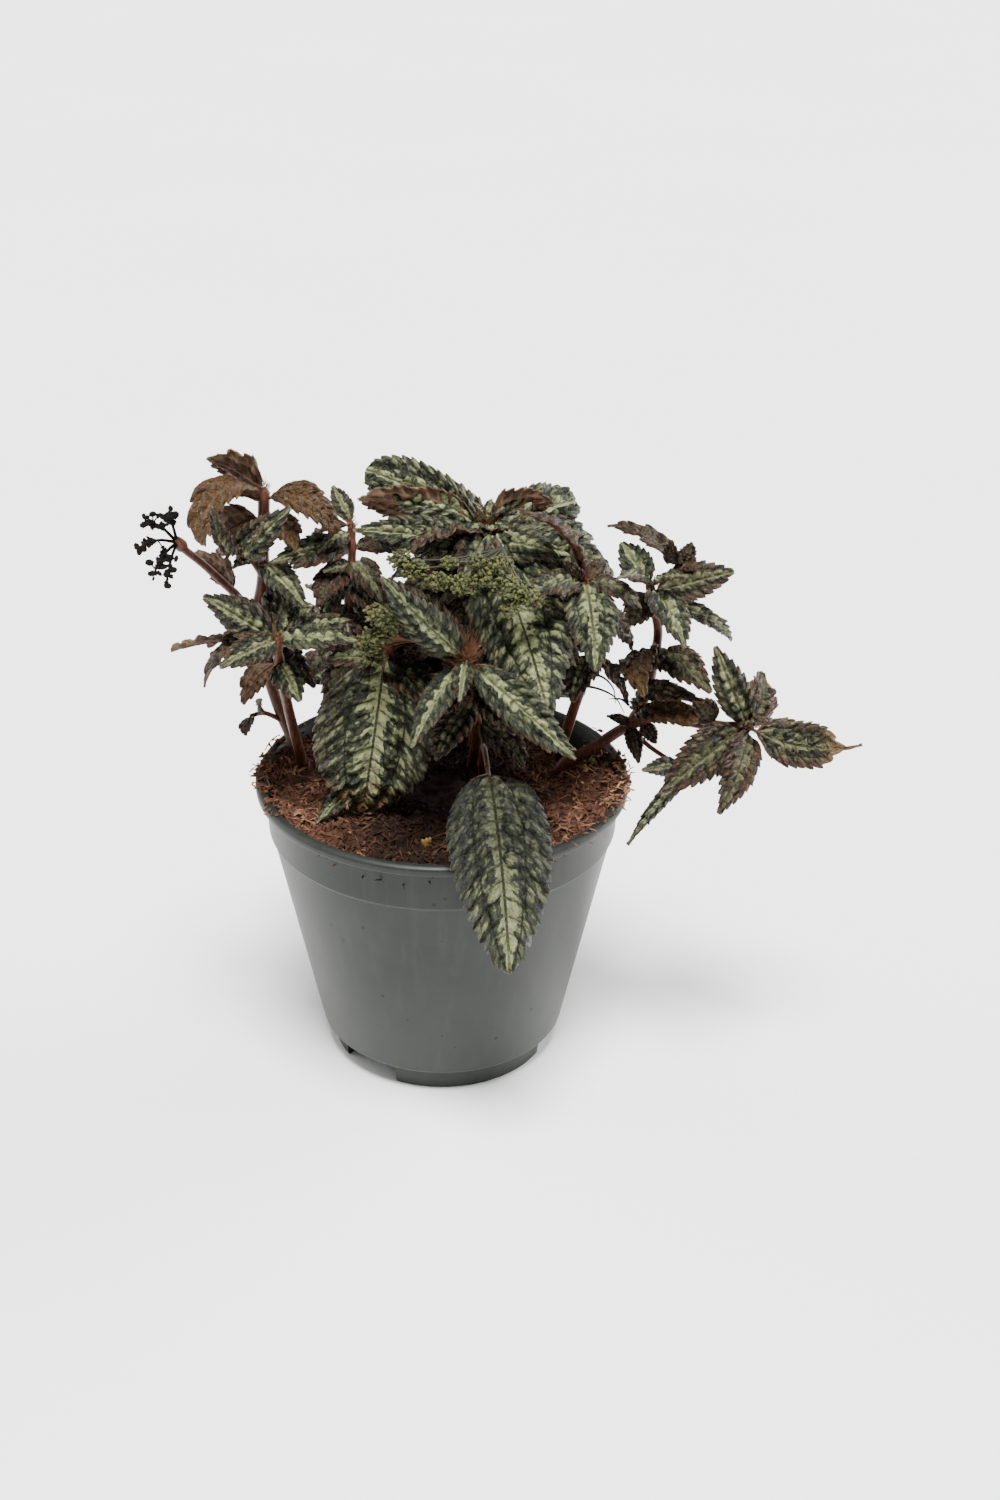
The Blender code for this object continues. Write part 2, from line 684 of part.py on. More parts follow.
def make_flower(name, stalk, lobes, draw):
    """A branched head: a stalk, small cores, and round buds that stand out of them."""
    pieces = [tube("stalk", [*stalk, lobes[0][0]], (FLOWER_STALK, FLOWER_STALK), PIECES)]
    centres = [centre for centre, _ in lobes]
    pieces.append(tube("fork", centres, (FLOWER_STALK, FLOWER_STALK), PIECES))
    for centre, radius in lobes:
        pieces.append(ball("core", centre, radius, PIECES))
        for i in range(BUDS_A_LOBE):
            rise = 1 - (2 * i + 1) / BUDS_A_LOBE
            turn = i * math.pi * (3 - math.sqrt(5)) + draw.uniform(-BUD_SCATTER, BUD_SCATTER)
            flat = math.sqrt(1 - rise * rise)
            way = Vector((flat * math.cos(turn), flat * math.sin(turn), rise))
            pieces.append(tiny_bud(Vector(centre) + way * radius, way, FLOWER_BUD))
    fuse(name, pieces, "flower")


def make_spent_bloom():
    """Dry black branches with a knob at the end of each."""
    root = Vector(SPENT_ROOT)
    pieces = [ball("root", root, SPENT_KNOB, PIECES)]
    for tip in SPENT_TIPS:
        middle = (root + Vector(tip)) / 2 + Vector((0, 0, SPENT_ARCH))
        pieces.append(tube("branch", [root, middle, tip], (SPENT_RADIUS, SPENT_RADIUS), PIECES))
        pieces.append(ball("knob", tip, SPENT_KNOB, PIECES))
    fuse("spent_bloom", pieces, "spent")


for old in list(bpy.data.objects):
    bpy.data.objects.remove(old)
PARTS = new_collection("potted_pilea")
CUTTERS = new_collection("cutters")
PIECES = new_collection("pieces")
COLOUR_MATERIALS = {name: material(name) for name in COLOURS}
DRAW = random.Random(SEED)

ROOTS = [make_shoot(name, shoot["stems"], shoot["leaves"]) for name, shoot in SHOOTS.items()]
for name, (route, pairs, heading, longest) in BACK_SHOOTS.items():
    pair_leaves = crossed_pairs(route, pairs, heading, longest, DRAW)
    ROOTS.append(make_shoot(name, {"main": (*BACK_STEM_RADII, route)}, pair_leaves))
for name, (stalk, lobes) in FLOWERS.items():
    make_flower(name, stalk, lobes, DRAW)
make_spent_bloom()
make_soil(ROOTS)
make_pot()
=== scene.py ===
"""Looks of the potted Pilea spruceana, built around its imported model: the moulded pot, the coir
soil, the leafy shoots with their quilted, silver-banded leaves, the flower heads and the dry
bloom. Sizes are in mm until a mesh is written, which is in metres."""

import math
import random

import bpy
import numpy as np
from mathutils import Matrix, Vector, noise


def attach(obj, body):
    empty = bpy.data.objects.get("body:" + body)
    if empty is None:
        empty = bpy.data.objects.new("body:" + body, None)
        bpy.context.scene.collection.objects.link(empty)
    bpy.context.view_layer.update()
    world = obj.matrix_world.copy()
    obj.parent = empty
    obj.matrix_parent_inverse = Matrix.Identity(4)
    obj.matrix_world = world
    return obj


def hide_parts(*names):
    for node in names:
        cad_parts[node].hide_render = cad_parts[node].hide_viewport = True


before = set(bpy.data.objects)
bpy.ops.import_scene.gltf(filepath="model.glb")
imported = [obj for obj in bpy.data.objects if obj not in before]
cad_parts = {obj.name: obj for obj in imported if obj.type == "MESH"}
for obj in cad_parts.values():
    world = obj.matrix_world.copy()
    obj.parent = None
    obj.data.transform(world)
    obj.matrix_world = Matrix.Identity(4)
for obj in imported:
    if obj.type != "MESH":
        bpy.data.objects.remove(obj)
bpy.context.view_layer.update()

# Pot: a thin grower pot, injection moulded in grey-green polypropylene. It has a rolled lip, a
# stepped band under it, a tapered wall, and a stepped foot with three drain notches.
MM = 0.001
POT_SIDES = 192
POT_HEIGHT = 98.0
LIP_RADIUS = 60.0
LIP_DEPTH = 3.2
BAND_RADIUS = 56.8
BAND_BOTTOM = 81.0
BAND_STEP = 1.6
BASE_RADIUS = 40.4
BASE_HEIGHT = 8.7
WALL = 1.2
FOOT_RADIUS = 36.4
FOOT_LEAN = 1.0
FOOT_NOTCHES = 3
NOTCH_ANGLE = 35.0
NOTCH_HEIGHT = 6.2
FIRST_NOTCH = -132.0
CHANNEL_RADIUS = 29.0
GAP = 0.35
CORNER_STEPS = 4
CLOUD_SIZE = 26.0
STREAK_SIZE = (3.8, 3.8, 45.0)
SPECK_SPACING = 5.3
SPECK_PATCH = 6.25
MOULD_GRAIN = 0.45
SMOOTH_UP_TO = 35.0
DUST_UP_TO = 45.0


def srgb(hex_colour):
    """An sRGB hex colour as the linear one that a shader takes."""
    channels = [int(hex_colour[i : i + 2], 16) / 255 for i in (0, 2, 4)]
    linear = [c / 12.92 if c <= 0.04045 else ((c + 0.055) / 1.055) ** 2.4 for c in channels]
    return (*linear, 1)


def add_node(material, kind, inputs, **settings):
    """Adds one node with its settings. An input is a value, a socket to link, or a node whose
    first live output is linked. Its key is its name or its number: a map range has its value at
    0, its from at 1 and 2 and its to at 3 and 4, and a colour mix has its share at 0 and its
    colours at 6 and 7."""
    node = material.node_tree.nodes.new("ShaderNode" + kind)
    for name, value in settings.items():
        setattr(node, name, value)
    for key, value in inputs.items():
        if isinstance(value, bpy.types.Node):
            value = next(socket for socket in value.outputs if socket.enabled)
        if isinstance(value, bpy.types.NodeSocket):
            material.node_tree.links.new(value, node.inputs[key])
        else:
            node.inputs[key].default_value = value
    return node


def new_material(name):
    """A node material, and the place on the piece that its patterns read."""
    material = bpy.data.materials.new(name)
    material.use_nodes = True
    material.node_tree.nodes.clear()
    return material, add_node(material, "TexCoord", {}).outputs["Object"]


def surfaced(material, surface):
    """The material, once its surface is joined to its output."""
    add_node(material, "OutputMaterial", {"Surface": add_node(material, "BsdfPrincipled", surface)})
    return material


def scale_of(size):
    """The scale of a pattern whose spots are so many mm across."""
    return 1 / (size * MM)


def only(obj):
    """Selects this object alone and makes it active."""
    bpy.ops.object.select_all(action="DESELECT")
    obj.select_set(True)
    bpy.context.view_layer.objects.active = obj


def finish_modifier(obj, name, kind, **settings):
    """Adds a modifier and applies it."""
    only(obj)
    modifier = obj.modifiers.new(name, kind)
    for key, value in settings.items():
        setattr(modifier, key, value)
    bpy.ops.object.modifier_apply(modifier=modifier.name)


def rounded(outline):
    """An outline of (radius, height, corner size) with each corner drawn as a small curve."""
    points = [outline[0][:2]]
    for before, corner, after in zip(outline, outline[1:], outline[2:]):
        middle = Vector(corner[:2])
        start = middle + (Vector(before[:2]) - middle).normalized() * corner[2]
        end = middle + (Vector(after[:2]) - middle).normalized() * corner[2]
        for step in range(CORNER_STEPS + 1):
            t = step / CORNER_STEPS
            points.append(start * (1 - t) ** 2 + middle * (2 * t * (1 - t)) + end * t**2)
    points.append(outline[-1][:2])
    return points


def wall_radius(height):
    """Outer radius of the tapered wall at a height."""
    share = (height - BASE_HEIGHT) / (BAND_BOTTOM - BASE_HEIGHT)
    return BASE_RADIUS + share * (BAND_RADIUS - BAND_STEP - BASE_RADIUS)


def extrude_up(stations):
    """Raises the selected disc through (radius, height) stations, as a potter pulls a wall."""
    for (last_radius, last_height), (radius, height) in zip(stations, stations[1:]):
        rise = (0, 0, (height - last_height) * MM)
        bpy.ops.mesh.extrude_region_move(TRANSFORM_OT_translate={"value": rise})
        share = radius / last_radius
        bpy.ops.transform.resize(value=(share, share, 1), center_override=(0, 0, height * MM))


LIP_BOTTOM = POT_HEIGHT - LIP_DEPTH
POT_OUTLINE = rounded([
    (FOOT_RADIUS - 2, 0, 0),
    (FOOT_RADIUS, 0, 0.5),
    (FOOT_RADIUS + FOOT_LEAN, BASE_HEIGHT - 1.4, 0.4),
    (BASE_RADIUS, BASE_HEIGHT, 0.9),
    (wall_radius(BAND_BOTTOM), BAND_BOTTOM - 0.6, 0.4),
    (wall_radius(BAND_BOTTOM) + 0.9, BAND_BOTTOM + 0.3, 0.3),
    (BAND_RADIUS, LIP_BOTTOM - 0.4, 0.5),
    (LIP_RADIUS - 0.3, LIP_BOTTOM, 0.5),
    (LIP_RADIUS, POT_HEIGHT - 0.9, 0.9),
    (LIP_RADIUS - 1.6, POT_HEIGHT, 0.6),
    (LIP_RADIUS - 3.2, POT_HEIGHT - 0.3, 0.7),
    (BAND_RADIUS - WALL, LIP_BOTTOM, 0.8),
    (wall_radius(BAND_BOTTOM - 2) - WALL, BAND_BOTTOM - 2, 0.8),
    (wall_radius(BASE_HEIGHT + WALL) - WALL, BASE_HEIGHT + WALL, 0.8),
    (FOOT_RADIUS + FOOT_LEAN - WALL, BASE_HEIGHT - 0.6, 0.6),
    (FOOT_RADIUS - WALL, WALL, 0.5),
    (FOOT_RADIUS - WALL - 3, WALL, 0),
])

bpy.ops.object.select_all(action="DESELECT")
bpy.ops.mesh.primitive_circle_add(vertices=POT_SIDES, radius=POT_OUTLINE[0][0] * MM, fill_type="NGON")
pot = bpy.context.object
pot.name = "moulded_pot"
bpy.ops.object.mode_set(mode="EDIT")
extrude_up(POT_OUTLINE)
bpy.ops.mesh.select_all(action="SELECT")
bpy.ops.mesh.normals_make_consistent(inside=False)
bpy.ops.object.mode_set(mode="OBJECT")

for i in range(FOOT_NOTCHES):
    heading = math.radians(FIRST_NOTCH + i * 360 / FOOT_NOTCHES)
    inner = CHANNEL_RADIUS + GAP
    middle = (inner + BASE_RADIUS) / 2
    bpy.ops.mesh.primitive_cube_add(
        size=1,
        location=(middle * math.cos(heading) * MM, middle * math.sin(heading) * MM, 0),
        rotation=(0, 0, heading),
        scale=(
            (BASE_RADIUS - inner) * MM,
            2 * FOOT_RADIUS * math.sin(math.radians(NOTCH_ANGLE / 2)) * MM,
            2 * NOTCH_HEIGHT * MM,
        ),
    )
    notch = bpy.context.object
    finish_modifier(pot, "Notch", "BOOLEAN", operation="DIFFERENCE", solver="EXACT", object=notch)
    bpy.data.objects.remove(notch)
only(pot)
bpy.ops.object.shade_smooth_by_angle(angle=math.radians(SMOOTH_UP_TO))


def moulded_polypropylene():
    """Recycled polypropylene from a mould: matte, a little cloudy, with dark specks of pigment
    and a film of dust that is thicker low down, so the grey is never quite even. The mould's
    grain is about 0.1 mm, too fine to show, so it is drawn coarser."""
    m, place = new_material("moulded_polypropylene")
    clouds = {"Vector": place, "Scale": scale_of(CLOUD_SIZE), "Detail": 5.0, "Roughness": 0.6}
    cloud = add_node(m, "TexNoise", clouds)
    patch = add_node(m, "MapRange", {0: cloud, 1: 0.35, 2: 0.68})
    body = add_node(m, "Mix", {0: patch, 6: srgb("181B17"), 7: srgb("212420")}, data_type="RGBA")
    height = add_node(m, "SeparateXYZ", {0: place}).outputs["Z"]
    low = add_node(m, "MapRange", {0: height, 1: DUST_UP_TO * MM, 2: 0.0, 3: 0.0, 4: 0.35})
    stretch = [scale_of(size) for size in STREAK_SIZE]
    streaks = add_node(m, "Mapping", {"Vector": place, "Scale": stretch})
    streak = add_node(m, "TexNoise", {"Vector": streaks, "Scale": 1.0, "Detail": 4.0})
    film = add_node(m, "MapRange", {0: streak, 1: 0.5, 2: 0.8, 4: 0.15})
    dust = add_node(m, "Math", {0: film, 1: low}, operation="ADD")
    dusty = add_node(m, "Mix", {0: dust, 6: body, 7: srgb("3C403A")}, data_type="RGBA")
    speck = add_node(m, "TexVoronoi", {"Vector": place, "Scale": scale_of(SPECK_SPACING)})
    size = add_node(m, "TexNoise", {"Vector": place, "Scale": scale_of(SPECK_PATCH), "Detail": 1.0})
    edge = add_node(m, "MapRange", {0: size, 1: 0.52, 2: 0.72, 3: 0.0, 4: 0.19})
    dot = add_node(m, "Math", {0: speck, 1: edge}, operation="LESS_THAN")
    specked = add_node(m, "Mix", {0: dot, 6: dusty, 7: srgb("0A0B0A")}, data_type="RGBA")
    rough = add_node(m, "MapRange", {0: cloud, 3: 0.36, 4: 0.52})
    grain = add_node(m, "TexNoise", {"Vector": place, "Scale": scale_of(MOULD_GRAIN), "Detail": 2.0})
    bump = add_node(m, "Bump", {"Height": grain, "Strength": 0.18, "Distance": 0.0002})
    surface = {"Base Color": specked, "Roughness": rough, "IOR": 1.49, "Normal": bump}
    surface["Specular IOR Level"] = 0.22
    return surfaced(m, surface)


pot.data.materials.append(moulded_polypropylene())
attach(pot, "root")
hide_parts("pot")

# Soil: coarse coir and peat, red-brown, heaped to the lip at both sides and sunk at the back
# right. Crumbs and loose fibres lie all over it, and some have spilled onto the lip.
SOIL_LEVEL = 91.0
SOIL_SIDE_RISE = 5.0
SOIL_DIP = 8.0
SOIL_DIP_AT = (46.0, 30.0)
SOIL_DIP_SPREAD = 14.0
SOIL_LUMPS = 1.6
SOIL_LUMP_SIZE = 9.0
SOIL_GRID = 150
SOIL_RIM_HEIGHT = BAND_BOTTOM + 6
SOIL_SHOULDER = BAND_BOTTOM - 4
SHELF = BASE_HEIGHT + 2 * WALL
CLODS = ((3.4, 1.3), (1.5, 0.7))
CRUMBS = 1500
SPILT_CRUMBS = 210
CRUMB_SIZES = (0.35, 1.25)
CRUMB_BREADTHS = (0.5, 0.9)
CRUMB_THICKNESSES = (0.4, 0.8)
RIM_CROWDING = 0.55
BARE_MIDDLE = 0.05
SPILL_SIDES = ((178, 24), (-4, 34))
SPILL_ON_LIP = POT_HEIGHT + 0.2
SPILL_ON_LEDGE = POT_HEIGHT - 1.8
FIBRES_A_BEND = 766
SPILT_FIBRES_A_BEND = 60
FIBRE_LENGTHS = (3.0, 9.0)
SPILT_FIBRE_LENGTHS = (2.5, 6.0)
FIBRE_TILT = 16
SPILT_FIBRE_TILT = 14
FIBRE_RADIUS = 0.16
FIBRE_TAPER = 0.6
FIBRE_BENDS = (
    [(-0.5, 0, 0), (-0.2, 0.9, 0.25), (0.15, 0.6, 0.4), (0.5, -0.4, 0.1)],
    [(-0.5, 0.2, 0), (-0.25, -0.9, 0.5), (0.1, 0.3, 0.7), (0.35, 1.2, 0.3), (0.5, 0.5, 0)],
    [(-0.5, -0.3, 0.2), (-0.1, 0.5, 0), (0.2, -0.2, 0.2), (0.5, 0.4, 0.4)],
)
FULL_TURN = 6.28
WELD = 0.01
DAMP_AND_SHADED_TO = 16
DRY_AND_UNSHADED_FROM = 44


def soil_height(x, y):
    """Height of the soil: higher at both sides, a dip at the back right, and lumps."""
    side = SOIL_SIDE_RISE * (abs(x) / BAND_RADIUS) ** 2
    away = math.hypot(x - SOIL_DIP_AT[0], y - SOIL_DIP_AT[1]) / SOIL_DIP_SPREAD
    dip = SOIL_DIP * math.exp(-away * away)
    lump = noise.noise(Vector((x, y, 0)) / SOIL_LUMP_SIZE) * SOIL_LUMPS
    return SOIL_LEVEL + side - dip + lump


def soil_surface(x, y):
    """The soil's height with its clods, which are finer than the lumps."""
    clods = sum(noise.noise(Vector((x, y, 40)) / size) * rise for size, rise in CLODS)
    return soil_height(x, y) + clods


def room_radius(height):
    """Radius of the soil inside the wall at a height, a gap away from it."""
    return wall_radius(height) - WALL - GAP


SOIL_RIM = room_radius(SOIL_RIM_HEIGHT)
bpy.ops.object.select_all(action="DESELECT")
bpy.ops.mesh.primitive_grid_add(x_subdivisions=SOIL_GRID, y_subdivisions=SOIL_GRID, size=2)
soil = bpy.context.object
soil.name = "coir_soil"
for vertex in soil.data.vertices:
    x, y, _ = vertex.co
    disc = Vector((x * math.sqrt(1 - y * y / 2), y * math.sqrt(1 - x * x / 2)))
    x, y = disc * SOIL_RIM
    vertex.co = Vector((x, y, soil_surface(x, y))) * MM
bpy.ops.object.mode_set(mode="EDIT")
bpy.ops.mesh.select_all(action="SELECT")
bpy.ops.mesh.region_to_loop()
last_radius = SOIL_RIM
for radius, height in (
    (room_radius(SOIL_SHOULDER), SOIL_SHOULDER),
    (room_radius(SHELF), SHELF),
    (CHANNEL_RADIUS, SHELF),
    (CHANNEL_RADIUS, WALL + GAP),
):
    bpy.ops.mesh.extrude_edges_move()
    share = radius / last_radius
    bpy.ops.transform.resize(value=(share, share, 0), center_override=(0, 0, height * MM))
    last_radius = radius
bpy.ops.mesh.edge_face_add()
bpy.ops.mesh.select_all(action="SELECT")
bpy.ops.mesh.normals_make_consistent(inside=False)
bpy.ops.object.mode_set(mode="OBJECT")
bpy.ops.object.shade_smooth()


def small_ball():
    """A ball of 20 faces, a millimetre in radius, to be copied."""
    bpy.ops.object.select_all(action="DESELECT")
    bpy.ops.mesh.primitive_ico_sphere_add(subdivisions=1, radius=MM)
    return bpy.context.object


def copies(template, name, places):
    """One object that holds a copy of the template at each place, each turned and sized by it,
    in place of the template. A float attribute, shade, tells the copies apart."""
    count = len(template.data.vertices)
    corners = np.empty(count * 3, np.float32)
    template.data.vertices.foreach_get("co", corners)
    corners = np.c_[corners.reshape(-1, 3), np.ones(count)]
    points = np.concatenate([corners @ np.array(place).T[:, :3] for place in places])
    faces = [tuple(face.vertices) for face in template.data.polygons]
    all_faces = [tuple(i + n * count for i in face) for n in range(len(places)) for face in faces]
    mesh = bpy.data.meshes.new(name)
    mesh.from_pydata(points.tolist(), [], all_faces)
    shade = mesh.attributes.new("shade", "FLOAT", "POINT")
    draw = np.random.default_rng(len(places))
    shade.data.foreach_set("value", np.repeat(draw.random(len(places)), count).astype(np.float32))
    made = bpy.data.objects.new(name, mesh)
    bpy.context.scene.collection.objects.link(made)
    bpy.data.objects.remove(template)
    return made


def merged(pieces, name):
    """The pieces as one object."""
    only(pieces[0])
    for piece in pieces:
        piece.select_set(True)
    bpy.ops.object.join()
    pieces[0].name = name
    return pieces[0]


def tapered(first, last, count):
    """So many radii from the first to the last."""
    return [first + (last - first) * i / (count - 1) for i in range(count)]


def tubes(name, lines, roundness=2):
    """Tubes as one mesh. A line is its points, in mm, and the radius at each. A tube has four
    sides at roundness 0 and eight at 2."""
    curve = bpy.data.curves.new(name, "CURVE")
    curve.dimensions = "3D"
    curve.bevel_depth = MM
    curve.bevel_resolution = roundness
    curve.use_fill_caps = True
    for points, radii in lines:
        spline = curve.splines.new("POLY")
        spline.points.add(len(points) - 1)
        for point, radius, place in zip(points, radii, spline.points):
            place.co = (*(Vector(point) * MM), 1)
            place.radius = radius
    obj = bpy.data.objects.new(name, curve)
    bpy.context.scene.collection.objects.link(obj)
    only(obj)
    bpy.ops.object.convert(target="MESH")
    bpy.ops.object.mode_set(mode="EDIT")
    bpy.ops.mesh.select_all(action="SELECT")
    bpy.ops.mesh.remove_doubles(threshold=WELD * MM)
    bpy.ops.object.mode_set(mode="OBJECT")
    bpy.ops.object.shade_smooth()
    return bpy.context.object


def on_soil(draw):
    """A place on the soil, as (x, y, height). The places crowd towards the rim."""
    heading = draw.uniform(0, 2 * math.pi)
    radius = SOIL_RIM * draw.uniform(BARE_MIDDLE, 1) ** RIM_CROWDING
    x, y = radius * math.cos(heading), radius * math.sin(heading)
    return x, y, soil_surface(x, y)


def tumbled(place, size, draw):
    """A place with a random turn and an uneven size."""
    angle = draw.uniform(0, FULL_TURN)
    turn = Matrix.Rotation(angle, 4, Vector([draw.gauss(0, 1) for _ in range(3)]))
    breadth, thickness = draw.uniform(*CRUMB_BREADTHS), draw.uniform(*CRUMB_THICKNESSES)
    scale = Matrix.Diagonal((size, size * breadth, size * thickness, 1))
    return Matrix.Translation(Vector(place) * MM) @ turn @ scale


def laid(place, length, tilt, draw):
    """A place with a random heading and a small tilt, for something long."""
    heading = Matrix.Rotation(draw.uniform(0, FULL_TURN), 4, "Z")
    rise = Matrix.Rotation(math.radians(draw.gauss(0, tilt)), 4, "Y")
    roll = Matrix.Rotation(draw.uniform(0, FULL_TURN), 4, "X")
    there = Matrix.Translation(Vector(place) * MM)
    return there @ heading @ rise @ roll @ Matrix.Diagonal((length, 1, 1, 1))


def on_lip(draw):
    """A place on the lip or on the ledge inside it, at a side where soil has spilled."""
    centre, spread = draw.choice(SPILL_SIDES)
    heading = math.radians(draw.gauss(centre, spread / 2))
    radius = draw.uniform(SOIL_RIM - 2, LIP_RADIUS + 0.3)
    height = SPILL_ON_LIP if radius > BAND_RADIUS - 1 else SPILL_ON_LEDGE
    return radius * math.cos(heading), radius * math.sin(heading), height


DRAW_SOIL = random.Random(11)
crumb_places = [
    tumbled(where(DRAW_SOIL), DRAW_SOIL.uniform(*CRUMB_SIZES), DRAW_SOIL)
    for where, count in ((on_soil, CRUMBS), (on_lip, SPILT_CRUMBS))
    for _ in range(count)
]
crumbs = copies(small_ball(), "soil_crumbs", crumb_places)

fibre_groups = []
for bend in FIBRE_BENDS:
    radii = tapered(FIBRE_RADIUS, FIBRE_RADIUS * FIBRE_TAPER, len(bend))
    places = [
        laid(where(DRAW_SOIL), DRAW_SOIL.uniform(*lengths), tilt, DRAW_SOIL)
        for where, lengths, tilt, count in (
            (on_soil, FIBRE_LENGTHS, FIBRE_TILT, FIBRES_A_BEND),
            (on_lip, SPILT_FIBRE_LENGTHS, SPILT_FIBRE_TILT, SPILT_FIBRES_A_BEND),
        )
        for _ in range(count)
    ]
    fibre_groups.append(copies(tubes("fibre", [(bend, radii)], 0), "fibres", places))
fibres = merged(fibre_groups, "coir_fibres")


def coir(name, dark, light, grain_size):
    """Coir and peat: dull, crumbly and moist, red-brown, darker towards the middle from side to side,
    where it is nearly black: partly damp, partly painted shade of the plant above it. A few fibres
    are bleached straw. Grains of peat are under 0.5 mm, too fine to show, so the spots of colour
    are drawn as coarse as grain_size, in mm."""
    m, place = new_material(name)
    grains = {"Vector": place, "Scale": scale_of(grain_size), "Detail": 6.0, "Roughness": 0.7}
    grain = add_node(m, "TexNoise", grains)
    mixed = add_node(m, "MapRange", {0: grain, 1: 0.38, 2: 0.66})
    body = add_node(m, "Mix", {0: mixed, 6: srgb(dark), 7: srgb(light)}, data_type="RGBA")
    shade = add_node(m, "Attribute", {}, attribute_name="shade").outputs["Fac"]
    straw = add_node(m, "MapRange", {0: shade, 1: 0.95, 2: 0.99})
    aged = add_node(m, "Mix", {0: straw, 6: body, 7: srgb("9A7B55")}, data_type="RGBA")
    # Darker towards the middle from side to side, nearly black: partly damp soil, partly painted shade
    # of the plant.
    across = add_node(m, "SeparateXYZ", {"Vector": place}).outputs["X"]
    away = add_node(m, "Math", {0: across}, operation="ABSOLUTE")
    damp_and_shade_ramp = {0: away, 1: DAMP_AND_SHADED_TO * MM, 2: DRY_AND_UNSHADED_FROM * MM, 3: 0.18}
    dry = add_node(m, "MapRange", damp_and_shade_ramp, interpolation_type="SMOOTHSTEP")
    damp_and_shaded = add_node(m, "Mix", {0: dry, 6: srgb("050302"), 7: aged}, data_type="RGBA")
    bump = add_node(m, "Bump", {"Height": grain, "Strength": 0.7, "Distance": 0.0008})
    surface = {"Base Color": damp_and_shaded, "Roughness": 0.9, "Specular IOR Level": 0.1, "Normal": bump}
    return surfaced(m, surface)


soil.data.materials.append(coir("peaty_coir", "20140F", "5C3E31", 2.4))
crumbs.data.materials.append(coir("coir_crumb", "2B1B14", "6C4B3B", 3.3))
fibres.data.materials.append(coir("coir_fibre", "42281B", "8C6650", 11.0))
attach(soil, "root")
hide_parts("soil")
for piece in (crumbs, fibres):
    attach(piece, "root")
